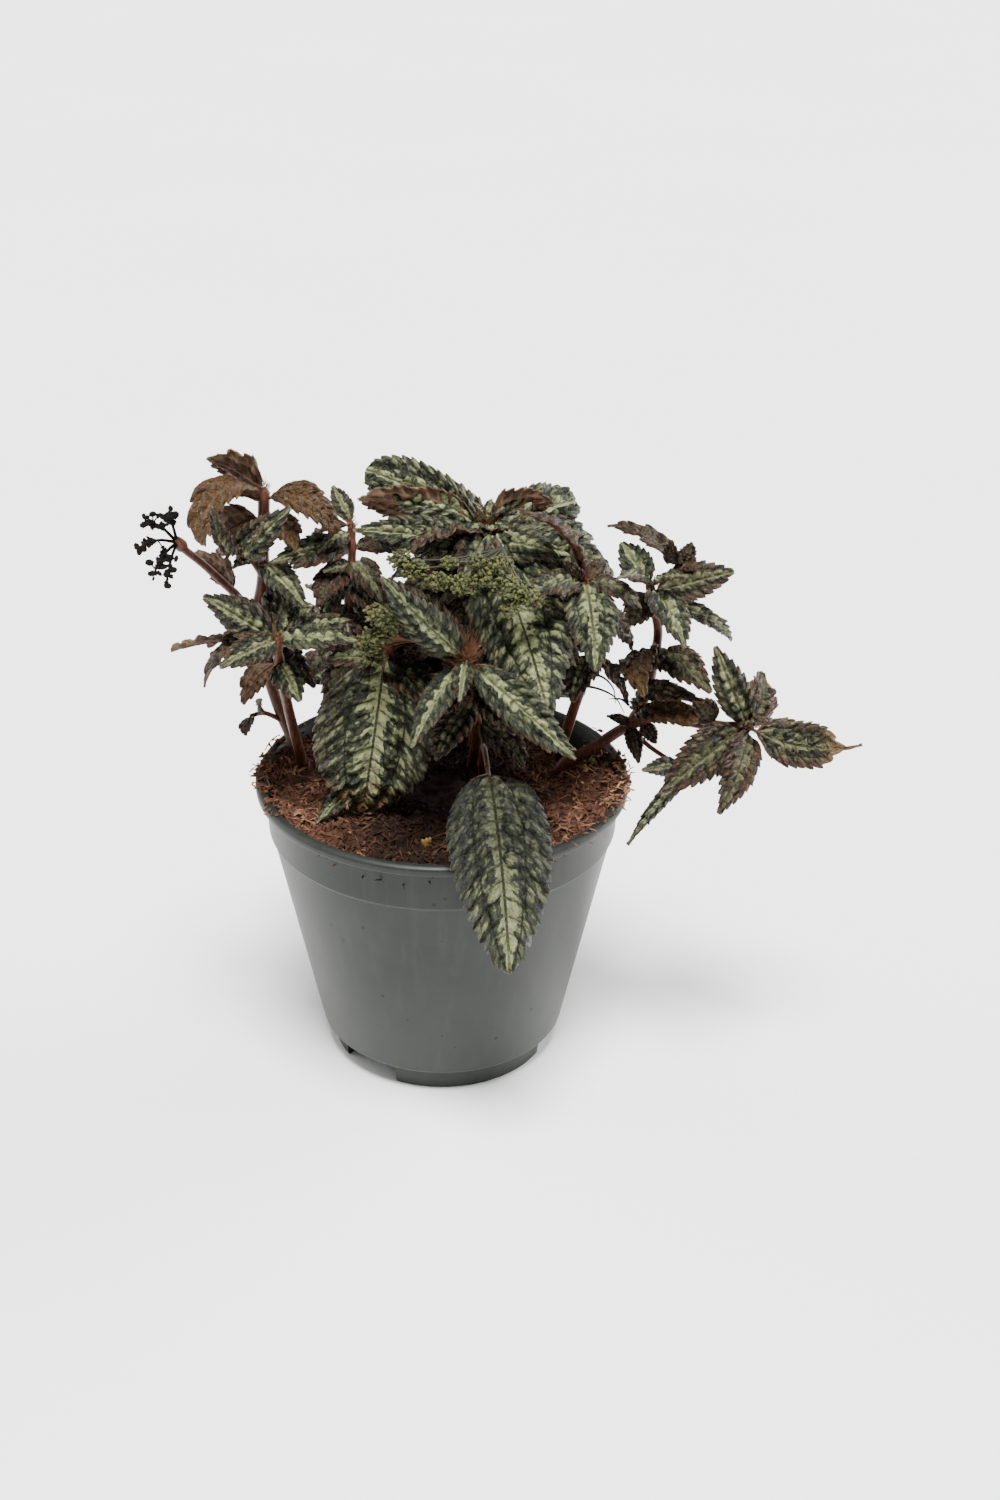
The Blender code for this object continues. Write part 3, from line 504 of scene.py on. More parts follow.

# Leafy shoots: red-brown juicy stems with a pair of leaves at each node. A leaf is thin and
# quilted, with a toothed edge and three sunken veins, a silver band along the middle of the dark
# green or bronze face, and a bronze back. Stem, leaf stalks and leaves grow as one.

# A stem's row is its radius at the foot and at the tip, its route and its leaves. A leaf's row is
# how far up the stem it grows, its tip, its width, how many degrees it is turned about its own
# length from facing up, its arch as a share of its length, and its tone: deep green at -0.7, the
# dark green being painted shade over its lower part, silver-green at 0, bronze at 1 and pale
# orange bronze at 2. Then follow, where they aren't 0, the share of its length that is dry, which
# also shrinks from 0.3 up, and how blunt it is, up to 1.
SHOOTS = {
    "shoot_left_tall": {
        "main": (2.1, 1.6, [
            (-47, 17, 96), (-54, 21, 112), (-59, 16, 141), (-56, 12, 161), (-54, 8, 190),
        ], [
            (1, (-71, 10, 200), 15, 65, 0.12, 1.9), (1, (-72, -8, 179), 20, 5, 0.36, 1.7, 0, 0.5),
            (0.98, (-32, 2, 179), 14, 20, 0.3, 1.6, 0, 0.4), (0.93, (-44, -2, 175), 12, 0, 0.2, 1.7),
            (0.93, (-66, -8, 179), 16, 90, 0.22, 2, 0, 0.6), (0.8, (-41, -13, 161), 10, 25, 0.08, 0.1),
            (0.8, (-63, -6, 171), 7, -15, 0.1, 0.1),
        ]),
        "side": (1.2, 0.9, [(-56, 12, 161), (-58, 4, 169), (-61, -4, 175)], [
            (1, (-66, -26, 198), 7, -175, 0.08, 0.6), (1, (-44, -18, 195), 11, 105, 0.14, 0.3),
            (0.95, (-65, -16, 185), 6, 165, 0.05, 1.6), (0.95, (-52, -20, 191), 5, 160, 0.05, 0.4),
        ]),
        "flower_stalk": (1.5, 1.2, [(-58, 15, 144), (-64, 8, 156), (-72, 2, 168), (-78, -3, 176)], [
            (0.35, (-77, 14, 168), 12, 80, 0.1, 1),
        ]),
        "low": (0.9, 0.7, [(-52, 20, 106), (-58, 18, 110), (-62, 14, 111)], [
            (1, (-63, 4, 109), 6, 25, 0.1, 1), (0.5, (-58, 10, 119), 5, 105, 0.1, 1),
        ]),
    },
    "shoot_left_front": {
        "main": (1.8, 1.4, [(-46, 11, 97), (-49, 6, 117), (-50, -6, 137), (-50, -15, 151)], [
            (1, (-71, -18, 167), 12, -60, 0.06, 0.35), (1, (-65, -36, 152), 11, -40, 0.1, 0.35),
            (0.98, (-25, -28, 157), 11, 25, 0.05, 0.1), (1, (-40, 4, 154), 9, 20, 0.06, 0.1),
            (1, (-47, -2, 160), 6, 50, 0.05, 0.3), (0.95, (-82, -16, 148), 7, 20, 0.08, 1, 0.29, 0.9),
            (0.93, (-72, -22, 139), 11, 5, 0.28, 0.9), (0.95, (-71, 4, 157), 13, -35, 0.1, 0.4),
            (0.95, (-28, -8, 155), 11, 30, 0.08, 0.3), (0.75, (-62, -8, 126), 11, 60, 0.16, 1),
            (0.75, (-43, -22, 134), 11, 20, 0.14, 0.2),
        ]),
    },
    "shoot_left_inner": {
        "main": (1.8, 1.2, [
            (-23, 22, 96), (-26, 16, 123), (-29, 8, 154), (-28, 10, 167), (-28, 14, 177),
        ], [
            (0.85, (-45, -4, 170), 10, -20, 0.06, 0.9), (1, (-42, 14, 172), 8, 10, 0.1, 0.9),
            (1, (-34, 22, 187), 7, -20, 0.05, 0.3), (0.95, (-37, 2, 174), 7, -25, 0.05, 0.4),
            (0.72, (-36, -2, 168), 7, -30, 0.08, 0.4), (0.68, (-38, -6, 158), 12, -5, 0.2, 0.9),
            (0.62, (-37, -1, 149), 10, 10, 0.1, 0.1), (0.72, (-18, -8, 160), 10, 15, 0.22, 0.5),
            (0.55, (-16, 4, 143), 11, 30, 0.15, 0.7), (0.5, (-38, 2, 138), 11, -20, 0.15, 0.7),
        ]),
    },
    "shoot_old_left": {
        "main": (1.9, 1.5, [(-15, 6, 95), (-15, 0, 124), (-17, -8, 147)], [
            (1, (-25, -18, 93), 39, -40, 0.09, 0.15, 0.17, 0.45),
            (0.1, (-39, -26, 94), 12, -25, 0.08, 0.2),
        ]),
    },
    "shoot_centre": {
        "main": (2, 1.4, [(10, 16, 92), (11, 4, 109), (9, -14, 134), (7, -27, 151)], [
            (1, (-17, -42, 183), 12.5, -115, 0.05, 0), (1, (5, -44, 145), 7, -5, 0.06, 0.2),
            (0.97, (-9, -52, 134), 10, -10, 0.08, 0.1), (0.97, (39, -48, 128), 13, 40, 0.06, 0),
            (0.9, (33, -28, 120), 11, 35, 0.04, 0.5), (0.95, (-16, -26, 176), 14, -75, 0.08, 0.3),
            (0.6, (-2, -30, 118), 12, -10, 0.08, 0.6),
        ]),
    },
    "shoot_crown": {
        "main": (2.2, 1.4, [(7, 30, 94), (9, 22, 120), (12, 8, 154), (13, 6, 169), (14, 10, 178)], [
            (0.88, (32, -31, 132), 32, 10, 0.11, 0), (0.86, (41, -12, 141), 20, 25, 0.1, 0.4),
            (0.97, (-23, 8, 197), 18, -52, 0.1, 0, 0, 0.95), (0.93, (-25, -8, 194), 17, 70, 0.08, 0.9),
            (0.8, (-26, -18, 188), 14, -55, 0.08, 0.1), (0.85, (-9, -20, 182), 14, 15, 0.12, 0.9),
            (1, (34, 14, 185), 16, -75, 0.14, 1), (1, (6, 18, 182), 10, 55, 0.12, 1),
            (0.97, (42, 30, 179), 17, 50, 0.12, 0.1, 0, 0.6), (0.9, (34, -1, 174), 15, 50, 0.1, 0.1),
            (0.93, (48, 28, 167), 13, 55, 0.14, 0.1), (0.85, (54, 18, 159), 15, 50, 0.2, 0.1),
            (1, (15, 2, 180), 8, 0, 0.06, 0), (1, (9, 4, 180), 7, -20, 0.06, 0),
            (1, (20, 4, 180), 7, 20, 0.06, 0), (0.72, (-14, -2, 157), 17, -35, 0.05, 0.5),
            (0.55, (-7, -4, 140), 18, -35, 0.14, 0.7), (0.55, (33, 6, 124), 20, 45, 0.14, 0.5),
        ]),
    },
    "shoot_front": {
        "main": (1.4, 0.8, [(13, 6, 92), (13, -4, 109), (14, -22, 111)], [
            (0.98, (20, -69, 68), 32, 5, 0.3, -0.7, 0, 0.3),
        ]),
    },
    "shoot_right_mid": {
        "main": (1.9, 1.4, [(39, 24, 92), (43, 14, 115), (47, 6, 136), (44, 0, 155), (43, -4, 166)], [
            (1, (45, -34, 150), 17, -5, 0.1, 0.05), (1, (60, -13, 161), 9, 15, 0.12, 0.6),
            (1, (23, -8, 190), 11, 0, 0.16, 0.9), (0.97, (23, -27, 171), 11, -25, 0.06, 0.4),
            (0.97, (50, 8, 168), 6, 45, 0.05, 0.9), (0.97, (37, -10, 175), 5, -120, 0.05, 0.9),
            (0.5, (59, 2, 121), 8, 0, 0.1, 1), (0.75, (60, 9, 137), 11, 45, 0.14, 0.8),
        ]),
    },
    "shoot_right": {
        "main": (2.2, 1.5, [
            (39, 12, 94), (49, 14, 99), (60, 14, 107), (70, 8, 114), (83, -2, 116), (96, -8, 118),
        ], [
            (0.42, (63, 0, 101), 6, 10, 0.1, 0.8), (0.42, (53, 10, 113), 4, -55, 0.15, 1),
            (0.48, (69, 6, 105), 6, 25, 0.1, 0.9), (0.85, (79, 0, 124), 10, -35, 0.08, 0.8),
            (0.93, (59, -14, 79), 6, -40, 0.1, 0.2), (0.95, (100, -20, 125), 7, 5, 0.05, 0.8),
            (0.98, (67, -30, 107), 16, -35, 0.08, 0.6), (1, (84, -6, 145), 12, -85, 0.05, 0.3),
            (1, (101, 6, 131), 15, 55, 0.1, 0.8), (1, (130, -16, 116), 18, 35, -0.2, 0.5, 0.33),
            (1, (84, -36, 103), 13, -40, 0.07, 0.7),
        ]),
        "twig": (0.9, 0.7, [(61, 14, 107), (67, 8, 103), (76, 0, 100)], [
            (1, (63, -10, 104), 7, -55, 0.08, 0.4),
        ]),
        "upper": (1.7, 1.3, [(60, 14, 107), (65, 13, 117), (68, 10, 140), (66, 6, 152), (64, 4, 161)], [
            (0.12, (79, -12, 122), 11, 30, 0.1, 1.8, 0, 0.8), (0.15, (81, -10, 128), 10, 40, 0.26, 0.8),
            (0.35, (56, -6, 136), 10, 45, 0.2, 1), (0.42, (82, -16, 134), 14, 20, 0.16, 0.6),
            (0.45, (62, -12, 131), 14, 35, 0.22, 1.5), (0.9, (93, 20, 135), 6, 65, 0.16, 0.2),
            (0.92, (90, 6, 165), 13, 55, 0.06, 0.5), (0.95, (58, -4, 151), 12, -15, 0.1, 0.8),
            (0.98, (72, -24, 153), 13, -5, 0.07, 0.2), (1, (55, 10, 173), 11, -45, 0.05, 0.05),
            (1, (52, -16, 172), 6, -25, 0.06, 0.3), (1, (73, -10, 170), 6, 25, 0.06, 0.3),
        ]),
        "top": (1.2, 1, [(66, 6, 152), (70, 10, 159), (73, 10, 165)], [
            (1, (51, 14, 177), 9, -15, 0.16, 0.9), (1, (70, 4, 176), 7, 175, 0.12, 1),
            (1, (77, 10, 173), 7, 105, 0.12, 1), (1, (80, 4, 166), 6, 15, 0.1, 0.9),
        ]),
    },
}
# Smaller leaves inside the shoots, on their main stems, which fill the shade behind the others.
INNER_LEAVES = {
    "shoot_left_tall": [
        (0.5, (-47, 2, 150), 11, 0, 0.12, 0.8), (0.38, (-50, 0, 134), 11, 10, 0.12, 0.9),
        (0.45, (-40, 0, 128), 11, 20, 0.12, 0.8), (0.45, (-76, 22, 132), 11, 30, 0.14, 0.9),
        (0.62, (-44, 24, 150), 12, 20, 0.14, 0.9), (0.97, (-67, 1, 190), 11, 30, 0.16, 0.9),
    ],
    "shoot_left_front": [
        (0.8, (-52, 18, 157), 12, 0, 0.08, 0.5), (0.6, (-53, 14, 144), 10, 0, 0.1, 0.7),
    ],
    "shoot_left_inner": [
        (0.55, (-4, 10, 137), 15, 0, 0.1, 0.6), (0.35, (-34, -4, 118), 13, 10, 0.16, 0.7),
        (0.35, (-10, 8, 122), 13, 20, 0.16, 0.7), (0.82, (-12, 14, 168), 12, 10, 0.14, 0.8),
        (0.62, (-12, -10, 151), 12, 25, 0.16, 0.6), (0.86, (-52, -2, 171), 10, -45, 0.1, 0.2),
    ],
    "shoot_old_left": [
        (0.95, (-19, 16, 131), 17, 0, 0.06, 0.6), (0.75, (-4, -24, 134), 15, 10, 0.14, 0.5),
        (0.75, (-36, -10, 142), 15, -20, 0.16, 0.5), (0.98, (-2, -22, 152), 15, -20, 0.1, 0.4),
        (0.5, (-28, -8, 112), 13, 0, 0.16, 0.7), (0.62, (5, -4, 133), 14, 0, 0.12, 0.6),
        (0.95, (-6, 8, 147), 13, 0, 0.12, 0.5), (0.9, (-29, 8, 150), 13, 0, 0.12, 0.6),
    ],
    "shoot_centre": [
        (0.8, (13, 14, 136), 15, 0, 0.06, 0.6), (0.75, (22, -32, 128), 13, 20, 0.12, 0.6),
        (0.75, (-8, -34, 132), 13, -20, 0.12, 0.6), (0.45, (26, -10, 104), 13, 20, 0.16, 0.7),
    ],
    "shoot_crown": [
        (0.84, (37, 20, 164), 15, 20, 0.12, 0.2), (0.66, (32, -10, 152), 17, 25, 0.12, 0.6),
        (0.66, (-16, 12, 160), 15, -10, 0.14, 0.7), (0.76, (28, 26, 160), 16, 20, 0.16, 0.4),
        (0.76, (-12, 26, 172), 16, -10, 0.14, 0.5), (0.9, (-10, 34, 182), 17, -20, 0.12, 0.3),
        (0.8, (14, 44, 168), 16, 0, 0.14, 0.2), (0.92, (6, -20, 170), 14, -10, 0.16, 0.5),
        (0.4, (28, 0, 112), 14, 20, 0.16, 0.7), (0.52, (-12, 4, 138), 16, 0, 0.1, 0.6),
        (0.6, (8, -12, 145), 14, 0, 0.1, 0.5), (0.48, (-4, 20, 146), 16, 10, 0.1, 0.6),
        (1, (7, 3, 178), 8, -30, 0.1, 0), (1, (22, 3, 178), 8, 30, 0.1, 0),
        (1, (19, -4, 172), 8, 10, 0.12, 0), (1, (10, -4, 172), 8, -10, 0.12, 0),
        (1, (10, 12, 185), 5, 0, 0.1, 0), (1, (15, 13, 186), 5, 0, 0.1, 0),
        (1, (19, 11, 184), 5, 0, 0.1, 0), (0.52, (-20, 4, 143), 20, -50, 0.08, 0.6),
        (0.45, (-17, 8, 128), 19, -60, 0.08, 0.7), (0.62, (20, -4, 135), 15, 20, 0.1, 0.6),
        (0.48, (-22, 14, 138), 17, -50, 0.08, 0.6),
    ],
    "shoot_right_mid": [
        (0.62, (32, -8, 142), 13, -20, 0.14, 0.5), (0.62, (60, 20, 142), 12, 20, 0.14, 0.6),
        (0.9, (28, 12, 171), 15, -10, 0.14, 0.4), (0.4, (29, 4, 126), 14, 0, 0.12, 0.5),
        (0.5, (40, -14, 130), 12, 0, 0.12, 0.4),
    ],
}
LEAF_SHEET = 0.45
BLADE_RISE = 0.55
BLADE_FALL = 0.95
PETIOLE_SHARE = 0.08
SHORTEST_PETIOLE = 1.5
FOLD = 0.30
CUP = 0.22
SIDE_VEIN = 0.47
TEETH_SPACING = 2.9
TEETH = (8, 22)
TOOTH_SHARE = 0.12
TOOTH_DEPTH = 0.85
TOOTH_RISE = 0.9
TOOTH_FALL = 0.4
TOOTH_PEAK = 0.45
TOOTH_REACH = 0.35
LAST_TOOTH = 0.97
STEPS_A_TOOTH = 5
COLUMN_WIDTH = 1.7
COLUMNS = (4, 12)
THINNEST = 0.35
RUNG_SPACING = 4.4
RUNGS = (7, 13)
RUNG_RAKE = (0.38, 0.34)
QUILT = 0.54
QUILT_HEIGHTS = (0.35, 1.35)
QUILT_CELLS = 40
QUILT_POWER = 0.85
QUILT_FADE = 0.7
QUILT_FULL_UP_TO = 1.3
MIDRIB_WIDTH = 0.13
SIDE_VEIN_WIDTH = 0.08
SIDE_VALLEY = 0.09
SIDE_VALLEY_WIDTH = 0.11
LUMP = 0.03
LUMP_RUNGS = 2.3
LUMP_FREE_MIDDLE = 0.25
LUMP_TURNS = (5, 9)
BLUNT_RISE = 0.6
BLUNT_FALL = 0.42
MARGIN_WAVE = 0.035
MARGIN_WAVES = (1.6, 3.2)
WITHERED_FROM = 0.3
WITHERED_SHRINK = 0.8
WITHERED_OVER = 0.15
KEEL = 0.9
STALK_RADIUS = 0.32
STALK_RADIUS_A_WIDTH = 0.013
STALK_TAPER = 0.75
KEEL_DEPTH = 0.3
NODE_LENGTH = 0.02
NODE_SWELLING = 0.16
FOOT_SWELLING = 1.15
FOOT_DEPTH = 6
TIP_SHARE = 0.25
STEM_STEPS = 44
STALK_STEPS = 9
ROUTE_STEPS = 100
LEAF_APART = 900.0
PATCH_SIZE = 4.5
FLECK_SIZE = 2.0
PUCKER_SIZE = 2.1
SKIN_GRAIN = 0.65
STEM_STREAK = 0.75
STEM_STREAK_STRETCH = 0.12
STEM_PATCH = 18.0


def smooth_points(points, count):
    """Points of a Catmull-Rom curve through the given ones."""
    known = [Vector(p) for p in points]
    known = [2 * known[0] - known[1], *known, 2 * known[-1] - known[-2]]
    spans = len(points) - 1
    result = []
    for step in range(count + 1):
        along = step / count * spans
        span = min(int(along), spans - 1)
        t = along - span
        a, b, c, d = known[span : span + 4]
        slope = c - a
        bend = 2 * a - 5 * b + 4 * c - d
        rest = 3 * b - 3 * c + d - a
        result.append((2 * b + slope * t + bend * t * t + rest * t**3) / 2)
    return result


def blade_width(share, rise, fall):
    """Width of a blade along its length, as a share of its widest."""
    widest = rise / (rise + fall)
    return share**rise * (1 - share) ** fall / (widest**rise * (1 - widest) ** fall)


def leaf_line(base, tip, turn, arch):
    """How a leaf lies: its chord, the way it faces, and the point and slope at a share of it."""
    base, tip = Vector(base), Vector(tip)
    chord = tip - base
    along = chord.normalized()
    up = Vector((0, 0, 1))
    up = (up - up.dot(along) * along).normalized()
    face = Matrix.Rotation(math.radians(turn), 3, along) @ up

    def at(share):
        rise = 4 * arch * chord.length
        share = np.asarray(share)[..., None]
        point = np.array(base) + np.array(chord) * share + np.array(face) * rise * share * (1 - share)
        slope = np.array(chord) + np.array(face) * rise * (1 - 2 * share)
        slope /= np.linalg.norm(slope, axis=-1, keepdims=True)
        normal = np.array(face) - (slope @ np.array(face))[..., None] * slope
        return point, slope, normal / np.linalg.norm(normal, axis=-1, keepdims=True)

    return chord.length, max(PETIOLE_SHARE, SHORTEST_PETIOLE / chord.length), at


def clamped(value, limits):
    """A count between its limits."""
    return min(max(round(value), limits[0]), limits[1])


def leaf_blade(base, tip, width, turn, arch, tone, dry, blunt, draw):
    """One blade from a grid: toothed edge, fold along the midrib, quilting between the veins."""
    length, petiole, at = leaf_line(base, tip, turn, arch)
    teeth = clamped(length / TEETH_SPACING, TEETH)
    rungs = clamped(length / RUNG_SPACING, RUNGS)
    columns = 2 * clamped(width / COLUMN_WIDTH, COLUMNS)
    rows = STEPS_A_TOOTH * teeth
    bpy.ops.mesh.primitive_grid_add(x_subdivisions=columns, y_subdivisions=rows, size=2)
    obj = bpy.context.object
    flat = np.empty(len(obj.data.vertices) * 3, np.float32)
    obj.data.vertices.foreach_get("co", flat)
    side, reach, _ = flat.reshape(-1, 3).T
    side = side.astype(float)
    reach = np.clip((reach + 1.0) / 2, 0, 1)
    span = np.abs(side)

    phase = (reach * teeth) % 1
    point_out = phase**TOOTH_RISE * (1 - phase) ** TOOTH_FALL / TOOTH_PEAK
    pointed = blade_width(reach, BLADE_RISE, BLADE_FALL)
    rounded_off = blade_width(reach, BLUNT_RISE, BLUNT_FALL)
    half = np.maximum(width / 2 * (pointed + blunt * (rounded_off - pointed)), THINNEST)
    if dry > WITHERED_FROM:
        half = half * (1 - WITHERED_SHRINK * np.clip((reach - 1 + dry) / WITHERED_OVER, 0, 1))
    rim = span**5
    half_here = half - np.minimum(TOOTH_SHARE * half, TOOTH_DEPTH) * (1 - point_out) * rim

    spacing = length / rungs
    ladder = reach * rungs - half * (RUNG_RAKE[0] * span + RUNG_RAKE[1] * span**2) / spacing
    puff = np.abs(np.sin(math.pi * ladder)) ** QUILT_POWER
    heights = np.array([draw.uniform(*QUILT_HEIGHTS) for _ in range(4 * QUILT_CELLS)])
    quarter = (side > 0) * 2 + (span > SIDE_VEIN)
    cell = (np.floor(ladder) + QUILT_CELLS // 2).astype(int) % QUILT_CELLS
    puff *= heights.reshape(4, QUILT_CELLS)[quarter, cell]
    puff *= 1 - np.exp(-((span / MIDRIB_WIDTH) ** 2))
    puff *= 1 - QUILT_FADE * np.exp(-(((span - SIDE_VEIN) / SIDE_VEIN_WIDTH) ** 2))
    puff *= 1 - QUILT_FADE * span**4
    puff *= np.clip(half / (width / 2) * QUILT_FULL_UP_TO, 0, 1)

    seed = draw.random()
    wave = np.sin(2 * math.pi * (reach * draw.uniform(*MARGIN_WAVES) + seed) + side)
    lift = half * (FOLD * span - CUP * side * side)
    lift += QUILT * spacing * puff
    lift += MARGIN_WAVE * width * wave * span**2
    lift -= SIDE_VALLEY * half * np.exp(-(((span - SIDE_VEIN) / SIDE_VALLEY_WIDTH) ** 2))
    ripple = np.sin(LUMP_TURNS[0] * side + LUMP_TURNS[1] * seed)
    lump = np.sin(2 * math.pi * (ladder / LUMP_RUNGS + seed)) * ripple
    lift += LUMP * width * lump * (1 - np.exp(-((span / LUMP_FREE_MIDDLE) ** 2)))

    forward = TOOTH_REACH / teeth * point_out * rim * (reach < LAST_TOOTH)
    centre, slope, normal = at(petiole + (1 - petiole) * np.clip(reach + forward, 0, 1))
    across = np.cross(slope, normal)
    points = centre + across * (half_here * side)[:, None] + normal * lift[:, None]
    obj.data.vertices.foreach_set("co", (points * MM).astype(np.float32).ravel())
    for name, values in (
        ("blade", np.c_[side, reach, half_here * side]),
        ("leaf", np.tile([tone, seed, dry], (len(side), 1))),
        ("ladder", np.c_[ladder, half, ladder * spacing]),
    ):
        attribute = obj.data.attributes.new(name, "FLOAT_VECTOR", "POINT")
        attribute.data.foreach_set("vector", values.astype(np.float32).ravel())
    return obj


def stalk_line(base, tip, width, turn, arch, dry):
    """The leaf's stalk, which runs on as a keel under the midrib: points and radii."""
    _, petiole, at = leaf_line(base, tip, turn, arch)
    keel = KEEL if dry < WITHERED_FROM else KEEL - dry
    shares = np.linspace(0, keel, STALK_STEPS)
    points, _, normals = at(shares)
    radii = (STALK_RADIUS + STALK_RADIUS_A_WIDTH * width) * (1 - STALK_TAPER * shares)
    sink = np.clip((shares - petiole) / PETIOLE_SHARE, 0, 1) * (radii + KEEL_DEPTH)
    return points - normals * sink[:, None], radii


def stem_line(points, radii, heights, in_soil):
    """A stem's points and radii, with a swelling at each node, and its foot in the soil."""
    route = smooth_points(points, STEM_STEPS)
    thick = []
    for i in range(STEM_STEPS + 1):
        share = i / STEM_STEPS
        swell = sum(math.exp(-(((share - h) / NODE_LENGTH) ** 2)) for h in set(heights))
        radius = radii[0] + (radii[1] - radii[0]) * share
        thick.append(radius * (1 + NODE_SWELLING * min(swell, 1)))
    if in_soil:
        x, y, _ = points[0]
        route[0] = Vector((x, y, soil_height(x, y) + 1))
        route.insert(0, Vector((x, y, soil_height(x, y) - FOOT_DEPTH)))
        thick.insert(0, radii[0] * FOOT_SWELLING)
    route.append(route[-1] + (route[-1] - route[-2]).normalized() * radii[1])
    thick.append(thick[-1] * TIP_SHARE)
    return route, thick


def leaf_fields(m, place):
    """What both faces of a leaf read: the place on the blade, noise, and a mask of the veins.
    The noise runs along the cross veins, in mm, so that blotches follow the quilting. Skin cells
    are under 0.1 mm, too fine to show, so their grain is drawn coarser."""
    read = []
    for name in ("blade", "leaf", "ladder"):
        attribute = add_node(m, "Attribute", {}, attribute_name=name).outputs["Vector"]
        read += add_node(m, "SeparateXYZ", {0: attribute}).outputs
    side, reach, offset, tone, seed, dry, rung, half, along = read
    span = add_node(m, "Math", {0: side}, operation="ABSOLUTE")
    away = add_node(m, "Math", {0: offset}, operation="ABSOLUTE")
    apart = add_node(m, "Math", {0: seed, 1: LEAF_APART, 2: along}, operation="MULTIPLY_ADD")
    cells = add_node(m, "CombineXYZ", {0: apart, 1: offset})
    cell = add_node(m, "TexNoise", {"Vector": cells, "Scale": 1 / PATCH_SIZE, "Detail": 2.0})
    flecks = {"Vector": cells, "Scale": 1 / FLECK_SIZE, "Detail": 4.0, "Roughness": 0.65}
    fleck = add_node(m, "TexNoise", flecks)
    fine = add_node(m, "TexNoise", {"Vector": place, "Scale": scale_of(SKIN_GRAIN), "Detail": 3.0})
    stir = {0: fleck.outputs["Color"], 1: (2.6, 2.6, 0.0), 2: cells}
    stirred = add_node(m, "VectorMath", stir, operation="MULTIPLY_ADD")
    puckers = {"Vector": stirred, "Scale": 1 / PUCKER_SIZE, "Smoothness": 0.15}
    pucker = add_node(m, "TexVoronoi", puckers, voronoi_dimensions="2D", feature="SMOOTH_F1")
    wobble = add_node(m, "Math", {0: cell, 1: 0.5}, operation="SUBTRACT")
    bent = add_node(m, "Math", {0: wobble, 1: 0.6, 2: rung}, operation="MULTIPLY_ADD")
    from_rung = add_node(m, "Math", {0: bent, 1: 0.5}, operation="PINGPONG")
    uneven = add_node(m, "Math", {0: fleck, 1: 0.45, 2: from_rung}, operation="MULTIPLY_ADD")
    rungs = add_node(m, "MapRange", {0: uneven, 1: 0.37, 2: 0.25})
    kept = add_node(m, "MapRange", {0: cell, 1: 0.42, 2: 0.58, 3: 0.65, 4: 1.0})
    rungs = add_node(m, "Math", {0: rungs, 1: kept}, operation="MULTIPLY")
    past = add_node(m, "Math", {0: span, 1: SIDE_VEIN}, operation="SUBTRACT")
    past = add_node(m, "Math", {0: past}, operation="ABSOLUTE")
    from_side = add_node(m, "Math", {0: past, 1: half}, operation="MULTIPLY")
    sides = add_node(m, "MapRange", {0: from_side, 1: 0.5, 2: 0.15})
    middle = add_node(m, "MapRange", {0: away, 1: 0.5, 2: 0.3})
    crossing = add_node(m, "Math", {0: rungs, 1: sides}, operation="MAXIMUM")
    veins = add_node(m, "Math", {0: crossing, 1: middle}, operation="MAXIMUM")
    strong = add_node(m, "MapRange", {0: half, 1: 4.0, 2: 9.0, 3: 0.6, 4: 1.0})
    veins = add_node(m, "Math", {0: veins, 1: strong}, operation="MULTIPLY")
    return span, reach, tone, dry, away, half, wobble, fleck, fine, pucker, veins


